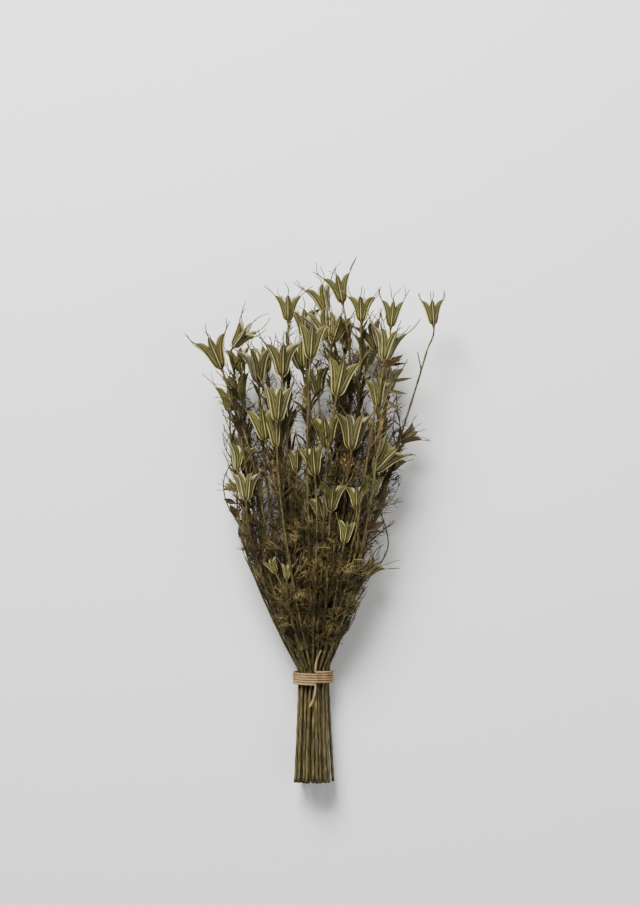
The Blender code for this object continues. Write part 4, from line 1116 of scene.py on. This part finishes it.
MIDRIB_RADII = [0.42, 0.38, 0.34, 0.30, 0.26, 0.22, 0.10]
THREAD_RADII = [0.30, 0.27, 0.22, 0.08]
TWIG_RADII = [0.28, 0.22, 0.10]
BARE_ABOVE = {"1": 210.0}        # this head's stem is bare from here up
ENVELOPE_Y = [16.0, 25.0, 68.0, 102.0, 128.0, 153.0, 178.0, 212.0, 238.0, 264.0, 290.0]
ENVELOPE_HALF_WIDTH = [20.0, 24.0, 42.0, 59.0, 68.0, 79.0, 79.0, 83.0, 86.0, 88.0, 88.0]
ENVELOPE_MIDDLE = 1.0            # x of the bunch's middle
LEAF_TRIES = 9                   # until a leaf lies inside the bunch
LEAF_COLOURS = [(0.34, (0.02, 0.013, 0.004)), (0.46, (0.05, 0.034, 0.010)),
                (0.56, (0.125, 0.09, 0.028)), (0.68, (0.30, 0.235, 0.09))]
LEAF_FIBRE_COLOURS = [(0.3, (0.7, 0.7, 0.7)), (0.7, (1.0, 1.0, 1.0))]
BOLD_DEPTH = 0.7                 # heads this near the viewer are kept clear
LEAVES_RISE = 6.0                # above the stems' own depth
LEAVES_OFF_TABLE = 0.4
LEAVES_OFF_HEADS = 0.5
HEAD_RIM = 0.3                   # a bold head is kept clear this far round its outline
LEAVES_INSIDE = 0.7              # how far they stay inside the CAD model's box


def point_on(strand, y):
    """Point of a strand's drawn line at y, and the direction the strand runs there."""
    drawn = strand["drawn"]
    own = [point.y for point in drawn]
    spots = []
    for at in (y - 2.0, y, y + 2.0):
        spots.append(Vector((np.interp(at, own, [p.x for p in drawn]), at,
                             np.interp(at, own, [p.z for p in drawn]))))
    return spots[1], (spots[2] - spots[0]).normalized()


def clear_of_heads(points):
    """True if the points stay out of every head and don't cross in front of a bold one."""
    off = points[:, None, :] - room_centres[None, :, :]
    flat = off[:, :, 0] ** 2 + off[:, :, 1] ** 2
    inside = (flat + off[:, :, 2] ** 2 < (room_sizes + LEAVES_OFF_HEADS) ** 2).any()
    hiding = ((flat < (room_sizes + HEAD_RIM) ** 2) & (off[:, :, 2] > 0.0) & room_bold).any()
    return not inside and not hiding


def bent(start, along, side, open_by, closing, length, steps, wave, draw):
    """Points of a thread that leaves start at an angle in degrees and bends from there."""
    points = [start]
    heading = math.radians(open_by)
    for step in range(steps):
        heading += closing / steps + draw.uniform(-wave, wave)
        points.append(points[-1] + (along * math.cos(heading) + side * math.sin(heading))
                      * (length / steps))
    return points


def across_of(direction, draw):
    """Random direction across this one."""
    side = Vector((draw.gauss(0, 1), draw.gauss(0, 1), draw.gauss(0, 1)))
    return (side - direction * side.dot(direction)).normalized()


def fits(points):
    """True if the thread is inside the CAD model's box and off the surface."""
    for p in points:
        half = np.interp(p.y, ENVELOPE_Y, ENVELOPE_HALF_WIDTH)
        if abs(p.x - ENVELOPE_MIDDLE) > half or not box_low[0] < p.x < box_high[0]:
            return False
        top = min(2.0 * half_depth(p.y) + LEAVES_RISE, box_high[2])
        if p.y > box_high[1] or not LEAVES_OFF_TABLE < p.z < top:
            return False
    return True


def leaf(start, along, length, draw):
    """One leaf: a thin midrib with pairs of side threads, as points and radii."""
    side = across_of(along, draw)
    midrib = bent(start, along, side, draw.uniform(*LEAF_OPENS), draw.uniform(*LEAF_CLOSES),
                  length, len(MIDRIB_RADII) - 1, 0.08, draw)
    if not fits(midrib) or not clear_of_heads(np.array(midrib[1:])):
        return []
    splines = [(midrib, MIDRIB_RADII)]
    for pair in range(1, len(MIDRIB_RADII) - 1):
        here = midrib[pair]
        ahead = (midrib[pair + 1] - midrib[pair - 1]).normalized()
        for way in (-1, 1):
            if draw.random() < THREADS_MISSING:
                continue
            out = across_of(ahead, draw)
            reach = draw.uniform(*THREAD_LENGTH) * (1.15 - 0.1 * pair) * (length / 40.0) ** 0.5
            thread = bent(here, ahead, out, draw.uniform(*THREAD_OPENS),
                          draw.uniform(*THREAD_CLOSES), reach, len(THREAD_RADII) - 1, 0.12, draw)
            if fits(thread) and clear_of_heads(np.array(thread[1:])):
                splines.append((thread, THREAD_RADII))
                if draw.random() < FORKS:
                    twig = bent(thread[1], (thread[2] - thread[1]).normalized(),
                                across_of(ahead, draw), draw.uniform(*TWIG_OPENS),
                                draw.uniform(*TWIG_CLOSES), TWIG_LENGTH * reach,
                                len(TWIG_RADII) - 1, 0.2, draw)
                    if fits(twig) and clear_of_heads(np.array(twig[1:])):
                        splines.append((twig, TWIG_RADII))
    return splines


balls = [(lobe_balls(strand, *shape), strand) for strand in strands
         for shape in strand["lobes"]]
balls += [(foot_balls(strand), strand) for strand in strands]
room_centres = np.concatenate([ball[0] for ball, strand in balls])
room_sizes = np.concatenate([ball[1] for ball, strand in balls])
room_bold = np.concatenate([np.full(len(ball[1]), strand["head"]["depth"] >= BOLD_DEPTH)
                            for ball, strand in balls])
box_low = [n / MM + LEAVES_INSIDE for n in cad_box[0]]
box_high = [n / MM - LEAVES_INSIDE for n in cad_box[1]]
leaf_draw = random.Random(LEAF_SEED)
leaf_finish = dry_material("dry_leaf", (700.0, 120.0, 700.0), 45.0, LEAF_COLOURS,
                           LEAF_FIBRE_COLOURS, 0.7, 0.0001, 0.3)
for plant in range(len(PLANTS)):
    splines = []
    for strand in strands:
        if strand["plant"] != plant:
            continue
        low = max(strand["start"] + LEAVES_ABOVE_FORK, LEAVES_FROM_Y)
        high = min(strand["foot"].y - LEAVES_END_BELOW_HEAD,
                   BARE_ABOVE.get(strand["name"], TOP_Y))
        y = low + leaf_draw.uniform(0.0, LEAF_EVERY)
        while y < high:
            start, along = point_on(strand, y)
            share = min(max((y - LEAVES_CHANGE_FROM_Y) / LEAVES_CHANGE_OVER, 0.0), 1.0)
            length = leaf_draw.uniform(*LEAF_LOW) * (1 - share)
            length += leaf_draw.uniform(*LEAF_HIGH) * share
            for attempt in range(LEAF_TRIES):
                made = leaf(start, along, length, leaf_draw)
                if made:
                    splines += made
                    break
            apart = LEAVES_CLOSE + LEAVES_THIN_OUT * share
            y += LEAF_EVERY * leaf_draw.uniform(0.6, 1.4) * apart
    leaves = tube(f"stem_{plant + 1:02d}_leaves", splines, 0, leaf_finish)
    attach(leaves, "root")
    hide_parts(f"stem_{plant + 1:02d}")

# PAPERY LEAVES
# The real stems also have papery leaves, folded along the middle: small olive ones, and
# larger brown and grey-purple ones. One flat grid is shaped as a leaf, copied for each
# and given the thickness of paper.
BLADE_ROWS = 7
BLADE_AT = [0.0, 0.12, 0.35, 0.6, 0.85, 1.0]
BLADE_WIDTH = [0.12, 0.45, 1.0, 0.85, 0.32, 0.03]
BLADE_CRINKLE = 0.12             # share of its width
CRINKLES_ALONG = 9.0             # radians over its length, and from side to side
CRINKLES_ACROSS = 2.0
STRAIGHT = 1e-3                  # a smaller curl than this is none
BRACT_THICKNESS = 0.22
BRACT_CREASE = 60.0
BRACTS_OFF_TABLE = 0.3
BRACT_SEED = 8
BRACTS_FROM_Y = 22.0
BRACTS_TO_Y = 292.0
BRACTS_END_BELOW_HEAD = 12.0
BRACT_EVERY = 15.0
BRACT_CURL = (-1.2, 1.2)         # radians over its length
BRACT_FOLD = (0.2, 1.0)
# Distance apart, lengths, widths as a share of them, and degrees off the stem
BROAD_BRACTS = (BRACT_EVERY, (7.0, 17.0), (0.16, 0.30), (8.0, 45.0))
# The same among the heads, where they are long, narrow and upright
NARROW_BRACTS = (3.6, (14.0, 32.0), (0.09, 0.18), (4.0, 22.0))
BRACTS_NARROW_FROM_Y = 150.0
NEARER_VIEWER = 0.3              # a nearer stem may be this much further aside
SEEN_RISE = 0.12                 # slope towards the viewer of the leaves in the photo
SEEN_CURL = 0.6
SEEN_FOLD = 0.5
# Those leaves: place of the base, length, width, degrees from +Y to the right, and tone
# from olive to purple
SEEN_BRACTS = [(0.0, 105.0, 15.0, 6.0, 8.0, 1.0), (27.0, 92.0, 25.0, 5.0, 38.0, 0.95),
               (46.0, 127.0, 19.0, 7.0, 60.0, 0.85), (39.0, 124.0, 20.0, 6.0, 42.0, 0.8),
               (56.0, 266.0, 20.0, 3.0, 72.0, 0.7), (60.0, 262.0, 23.0, 3.0, 50.0, 0.6),
               (52.0, 270.0, 17.0, 4.0, 96.0, 0.7), (62.0, 268.0, 19.0, 2.5, 62.0, 0.55),
               (64.0, 266.0, 20.0, 2.5, 82.0, 0.6), (66.0, 252.0, 25.0, 3.2, 80.0, 0.3),
               (64.0, 246.0, 22.0, 3.0, 102.0, 0.35), (61.0, 240.0, 24.0, 3.0, 130.0, 0.4),
               (-64.0, 138.0, 15.0, 6.0, -35.0, 0.75), (-66.0, 150.0, 13.0, 5.0, -70.0, 0.3),
               (-60.0, 118.0, 14.0, 5.0, -20.0, 0.6), (36.0, 157.0, 18.0, 6.0, 30.0, 0.2),
               (-62.0, 226.0, 15.0, 7.0, -20.0, 0.8), (66.0, 150.0, 17.0, 6.0, 15.0, 0.7),
               (14.0, 158.0, 14.0, 6.0, -30.0, 0.15), (-9.0, 120.0, 12.0, 4.0, 20.0, 0.5),
               (8.0, 52.0, 10.0, 5.0, 35.0, 0.1), (18.0, 55.0, 9.0, 5.0, -40.0, 0.05),
               (30.0, 62.0, 10.0, 5.0, 50.0, 0.1), (28.0, 76.0, 14.0, 6.0, 30.0, 0.15)]
BRACT_COLOURS = [(0.0, (0.075, 0.075, 0.013)), (0.3, (0.055, 0.046, 0.012)),
                 (0.55, (0.075, 0.046, 0.015)), (0.8, (0.045, 0.028, 0.012)),
                 (1.0, (0.11, 0.08, 0.065))]
BRACT_FIBRE_COLOURS = [(0.3, (0.62, 0.62, 0.6)), (0.6, (1.0, 1.0, 1.0))]


# Three rows of points, from the leaf's base to its tip
blade_points, blade_faces = flat_grid(2, BLADE_ROWS)


def blade(start, along, facing, length, width, curl, fold):
    """Points of one papery leaf: folded along its middle, and bent along its length."""
    facing = (facing - along * facing.dot(along)).normalized()
    across = along.cross(facing)
    u = blade_points[:, 0]
    v = 0.5 * (blade_points[:, 1] + 1.0)
    wide = np.interp(v, BLADE_AT, BLADE_WIDTH) * 0.5 * width
    bend = curl * v
    curled = abs(curl) > STRAIGHT
    run = np.where(curled, np.sin(bend) / curl, v) * length
    rise = np.where(curled, (1.0 - np.cos(bend)) / curl, 0.0) * length
    crinkle = BLADE_CRINKLE * width * np.sin(CRINKLES_ALONG * v + CRINKLES_ACROSS * u)
    lift = fold * np.abs(u) * wide + crinkle * np.abs(u)
    return (np.array(start) + np.outer(run, along) + np.outer(rise + lift, facing)
            + np.outer(u * wide, across))


def bract_material():
    """Papery leaf: olive, straw or grey purple from one to the next, with fine veins."""
    material, tree, shader = new_material("dry_bract")
    mark = add_node(tree, "ShaderNodeAttribute", {"attribute_name": "ripeness"})
    noise = add_fibres(tree, shader, (1100.0, 220.0, 1100.0), 180.0, 0.0002)
    colour = add_ramp(tree, mark.outputs["Fac"], BRACT_COLOURS)
    patches = add_ramp(tree, noise.outputs["Blotches"], WALL_BLOTCH_COLOURS)
    colour = mix_colours(tree, "MULTIPLY", 1.0, colour, patches)
    fibres = add_ramp(tree, noise.outputs["Fibres"], BRACT_FIBRE_COLOURS)
    colour = mix_colours(tree, "MULTIPLY", 1.0, colour, fibres)
    tree.links.new(colour, shader.inputs["Base Color"])
    shader.inputs["Roughness"].default_value = 0.7
    shader.inputs["Specular IOR Level"].default_value = 0.2
    return material


def nearest_stem(x, y):
    """The strand that passes nearest to x at y, with those in front preferred."""
    best = None
    for strand in strands:
        if strand["start"] + 2.0 < y < strand["foot"].y - 2.0:
            point, along = point_on(strand, y)
            far = abs(point.x - x) - NEARER_VIEWER * point.z
            if best is None or far < best[0]:
                best = (far, strand, point)
    return best[1], best[2]


def seen_blades():
    """The papery leaves that the photo shows, on the stems that they are nearest to."""
    made = []
    for x, y, length, width, lean, tone in SEEN_BRACTS:
        strand, point = nearest_stem(x, y)
        lean = math.radians(lean)
        along = Vector((math.sin(lean), math.cos(lean), SEEN_RISE)).normalized()
        start = point.lerp(Vector((x, y, point.z)), 0.5)
        places = blade(start, along, Vector((0.2, 0.0, 1.0)), length, width, SEEN_CURL,
                       SEEN_FOLD)
        made.append((strand["plant"], places, tone))
    return made


def scattered_blades(draw):
    """Smaller papery leaves, scattered over the stems below the heads."""
    made = []
    for strand in strands:
        high = min(strand["foot"].y - BRACTS_END_BELOW_HEAD, BRACTS_TO_Y,
                   BARE_ABOVE.get(strand["name"], TOP_Y))
        y = max(strand["start"], BRACTS_FROM_Y) + draw.uniform(0.0, BRACT_EVERY)
        while y < high:
            narrow = y > BRACTS_NARROW_FROM_Y
            apart, lengths, widths, opens = NARROW_BRACTS if narrow else BROAD_BRACTS
            start, along = point_on(strand, y)
            side = across_of(along, draw)
            open_by = math.radians(draw.uniform(*opens))
            ahead = (along * math.cos(open_by) + side * math.sin(open_by)).normalized()
            length = draw.uniform(*lengths)
            wide = length * draw.uniform(*widths)
            places = blade(start, ahead, -side, length, wide, draw.uniform(*BRACT_CURL),
                           draw.uniform(*BRACT_FOLD))
            ends = [Vector(places[0]), Vector(places[len(places) // 2]), Vector(places[-1])]
            if fits(ends) and clear_of_heads(places):
                made.append((strand["plant"], places, draw.random() ** 1.5))
            y += apart * draw.uniform(0.5, 1.5)
    return made


bract_finish = bract_material()
blades = seen_blades() + scattered_blades(random.Random(BRACT_SEED))
for plant in sorted({blade[0] for blade in blades}):
    own = [(places, tone) for owner, places, tone in blades if owner == plant]
    points = np.concatenate([places for places, tone in own])
    points[:, 2] = np.maximum(points[:, 2], BRACTS_OFF_TABLE)
    faces = np.concatenate([blade_faces + len(blade_points) * i for i in range(len(own))])
    bracts = mesh_piece(f"stem_{plant + 1:02d}_bracts", points, faces.tolist(), bract_finish)
    mark_ripeness(bracts, np.repeat([tone for places, tone in own], len(blade_points)))
    paper = bracts.modifiers.new("paper", "SOLIDIFY")
    paper.thickness = BRACT_THICKNESS * MM
    paper.offset = 0.0
    bpy.ops.object.modifier_apply(modifier="paper")
    bpy.ops.object.shade_smooth_by_angle(angle=math.radians(BRACT_CREASE))
    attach(bracts, "root")
    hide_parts(f"stem_{plant + 1:02d}")

# WITHERED FLOWER
# One head is still a withered flower: short brown lobes with a tuft of dried stamens,
# yellow-orange anthers on thin threads round its middle. Each anther is a copy of one
# small ball, drawn out along its thread.
FLOWER = "26"                    # its head
ANTHERS = 34
ANTHERS_OUT = (2.0, 6.0)         # from the head's axis
ANTHERS_UP = (6.0, 17.0)         # from its foot
ANTHER_RADIUS = 0.55
ANTHER_HALF_LENGTH = 1.1
ANTHER_SEED = 4
FILAMENT_FROM = (0.35, 0.55)     # shares of the anther's way out and up
FILAMENT_SAGS = 0.3
FILAMENT_RADII = [0.16, 0.14, 0.12]
ANTHER_COLOURS = [(0.35, (0.30, 0.13, 0.02)), (0.65, (0.55, 0.33, 0.07))]

flower = next(strand for strand in strands if strand["name"] == FLOWER)
anther_draw = random.Random(ANTHER_SEED)
foot, axis, toward, across = head_frame(flower)
bpy.ops.object.select_all(action="DESELECT")
bpy.ops.mesh.primitive_uv_sphere_add(segments=10, ring_count=6, radius=1.0, location=(0, 0, 0))
ball_points, ball_faces = shape_of(bpy.context.object)
points = []
faces = []
filaments = []
for i in range(ANTHERS):
    turn = anther_draw.uniform(0.0, 2.0 * math.pi)
    out = anther_draw.uniform(*ANTHERS_OUT)
    up = anther_draw.uniform(*ANTHERS_UP)
    spot = foot + axis * up + (toward * math.cos(turn) + across * math.sin(turn)) * out
    from_out, from_up = FILAMENT_FROM
    root = foot + axis * (from_up * up) + (spot - foot - axis * up) * from_out
    long_way = (spot - root).normalized()
    wide = across_of(long_way, anther_draw)
    deep = long_way.cross(wide)
    shape = np.outer(ball_points[:, 0], wide) + np.outer(ball_points[:, 1], deep)
    faces += [tuple(corner + len(points) * len(ball_points) for corner in face)
              for face in ball_faces]
    points.append(np.array(spot) + shape * ANTHER_RADIUS
                  + np.outer(ball_points[:, 2], long_way) * ANTHER_HALF_LENGTH)
    middle = root.lerp(spot, 0.5) + wide * FILAMENT_SAGS
    filaments.append(([root, middle, spot], FILAMENT_RADII))
anther_finish = dry_material("dry_anther", (2000.0, 2000.0, 2000.0), 500.0, ANTHER_COLOURS,
                             None, 0.7)
anthers = mesh_piece("anthers", np.concatenate(points), faces, anther_finish)
bpy.ops.object.shade_smooth()
threads = tube("filaments", filaments, 0, leaf_finish)
flower_node = f"stem_{flower['plant'] + 1:02d}"
for item in (anthers, threads):
    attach(item, "root")
    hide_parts(flower_node)

# TWINE
# Jute twine of three plies goes five times round the stems, side by side, and its two
# ends start on top of the turns and run out from them.
TIE_TURNS = 5
TWINE_STEP = 0.75        # between points along it
TWINE_STARTS = 1.45      # radians round from the side, so that the ends lie on top
PLY_PITCH = 5.2
PLY_OFFSET = 0.48
PLY_RADIUS = 0.56
TAIL_POINTS = 30
TAIL_REACH = 19.0
TAIL_ASIDE = 5.0
TAIL_ARCH = 0.9          # it rises over the turns, and ends this much higher
TAIL_RISE = 0.6
FUZZ = 260               # loose fibres
FUZZ_SEED = 3
FUZZ_RADII = [0.07, 0.06, 0.03]
FUZZ_STEPS = (0.9, 1.2)  # lengths of its two halves
FUZZ_OFF_TABLE = 0.1
JUTE_COLOURS = [(0.3, (0.21, 0.125, 0.05)), (0.7, (0.42, 0.285, 0.135))]
JUTE_FIBRE_COLOURS = [(0.3, (0.6, 0.58, 0.55)), (0.6, (1.0, 1.0, 1.0))]


def plies(path):
    """Three plies twisted round a path of points a constant step apart."""
    path = np.array(path)
    ahead = np.gradient(path, axis=0)
    ahead /= np.linalg.norm(ahead, axis=1)[:, None]
    flat = np.cross(ahead, [0.0, 1.0, 0.0])
    flat /= np.linalg.norm(flat, axis=1)[:, None]
    high = np.cross(ahead, flat)
    step = np.linalg.norm(np.diff(path, axis=0), axis=1)
    run = np.concatenate([[0.0], np.cumsum(step)])
    made = []
    for ply in range(3):
        turn = 2.0 * math.pi * (run / PLY_PITCH + ply / 3.0)
        line = (path + flat * (np.cos(turn) * PLY_OFFSET)[:, None]
                + high * (np.sin(turn) * PLY_OFFSET)[:, None])
        made.append((line.tolist(), [PLY_RADIUS] * len(line)))
    return made


twine_draw = random.Random(FUZZ_SEED)
twine_radius = 0.5 * TWINE
wound = TIE_HALF_DEPTH - twine_radius
count = int(TIE_TURNS * 2.0 * math.pi * wound / TWINE_STEP)
path = []
for i in range(count + 1):
    turn = TIE_TURNS * 2.0 * math.pi * i / count + TWINE_STARTS
    along = TWINE * (TIE_TURNS * i / count - 0.5 * TIE_TURNS)
    path.append((wound * math.cos(turn), along, TIE_HALF_DEPTH + wound * math.sin(turn)))
splines = plies(path)
for end, way in ((path[0], -1.0), (path[-1], 1.0)):
    tail = []
    for i in range(TAIL_POINTS):
        t = i / (TAIL_POINTS - 1)
        arch = TAIL_ARCH * math.sin(math.pi * min(t * 1.5, 1.0))
        tail.append((end[0] + way * TAIL_ASIDE * t * t, end[1] + way * TAIL_REACH * t ** 0.8,
                     end[2] + arch + TAIL_RISE * t))
    splines += plies(tail)
for i in range(FUZZ):
    start = Vector(path[twine_draw.randrange(len(path))])
    middle = Vector((0.0, start.y, TIE_HALF_DEPTH))
    out = (start - middle).normalized()
    root = start + out * (0.9 * twine_radius)
    lean = Vector((twine_draw.gauss(0, 1), twine_draw.gauss(0, 1), twine_draw.gauss(0, 1)))
    first = root + (out * 0.5 + lean * 0.5) * FUZZ_STEPS[0]
    last = first + (lean * 0.8 + out * 0.1) * FUZZ_STEPS[1]
    if min(first.z, last.z) > FUZZ_OFF_TABLE:
        splines.append(([root, first, last], FUZZ_RADII))
twine_finish = dry_material("jute_twine", (1600.0, 1600.0, 1600.0), 130.0, JUTE_COLOURS,
                            JUTE_FIBRE_COLOURS, 0.9, 0.0004)
twine = tube("twine", splines, 1, twine_finish)
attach(twine, "root")
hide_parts("tie")

# TABLE AND LIGHT
# The bunch lies on a plain pale table under soft studio light that comes mostly from
# beyond the seed heads, as the photo's light comes from above the bunch.
FLOOR_SIZE = 12.0        # metres, as are the lights' places and sizes
FLOOR_COLOUR = (0.86, 0.86, 0.85, 1.0)
LIT = (0.0, 0.2, 0.05)   # what the lights point at
KEY_POWER = 125.0
FILL_POWER = 12.0
WORLD_LIGHT = 0.22
bpy.ops.object.select_all(action="DESELECT")
bpy.ops.mesh.primitive_plane_add(size=FLOOR_SIZE, location=(0.0, 0.2, 0.0))
floor = bpy.context.object
floor.name = "table"
floor_finish, tree, shader = new_material("pale_table")
shader.inputs["Base Color"].default_value = FLOOR_COLOUR
shader.inputs["Roughness"].default_value = 0.8
floor.data.materials.append(floor_finish)


def area_light(name, place, target, size, power):
    """Square soft light aimed at the target."""
    light = bpy.data.lights.new(name, "AREA")
    light.size = size
    light.energy = power
    item = bpy.data.objects.new(name, light)
    item.location = place
    aim = Vector(target) - Vector(place)
    item.rotation_euler = aim.to_track_quat("-Z", "Y").to_euler()
    bpy.context.collection.objects.link(item)


area_light("key", (-0.5, 1.6, 1.5), LIT, 1.0, KEY_POWER)
area_light("fill", (1.2, -0.2, 1.4), LIT, 1.4, FILL_POWER)
world = bpy.data.worlds.new("studio")
world.use_nodes = True
background = world.node_tree.nodes["Background"]
background.inputs["Color"].default_value = (1.0, 1.0, 1.0, 1.0)
background.inputs["Strength"].default_value = WORLD_LIGHT
bpy.context.scene.world = world

# CAMERA
# It looks straight down on the lying bunch, which the photo sees upright from the side.
# The photo is 640 by 905 pixels and shows 0.85 mm of the bunch a pixel.
PHOTO_HEIGHT = 905
MM_PER_PIXEL = 0.85
SENSOR = 36.0
CAMERA_HEIGHT = 2.4      # metres
LOOKS_AT_X = 5.95
LOOKS_AT_Y = 193.4
MIDDLE_HEIGHT = 50.0     # of the bunch, where the scale holds
seen = PHOTO_HEIGHT * MM_PER_PIXEL * MM
camera_data = bpy.data.cameras.new("camera")
camera_data.sensor_width = SENSOR
camera_data.lens = SENSOR * (CAMERA_HEIGHT - MIDDLE_HEIGHT * MM) / seen
camera = bpy.data.objects.new("camera", camera_data)
camera.location = (LOOKS_AT_X * MM, LOOKS_AT_Y * MM, CAMERA_HEIGHT)
bpy.context.collection.objects.link(camera)
bpy.context.scene.camera = camera
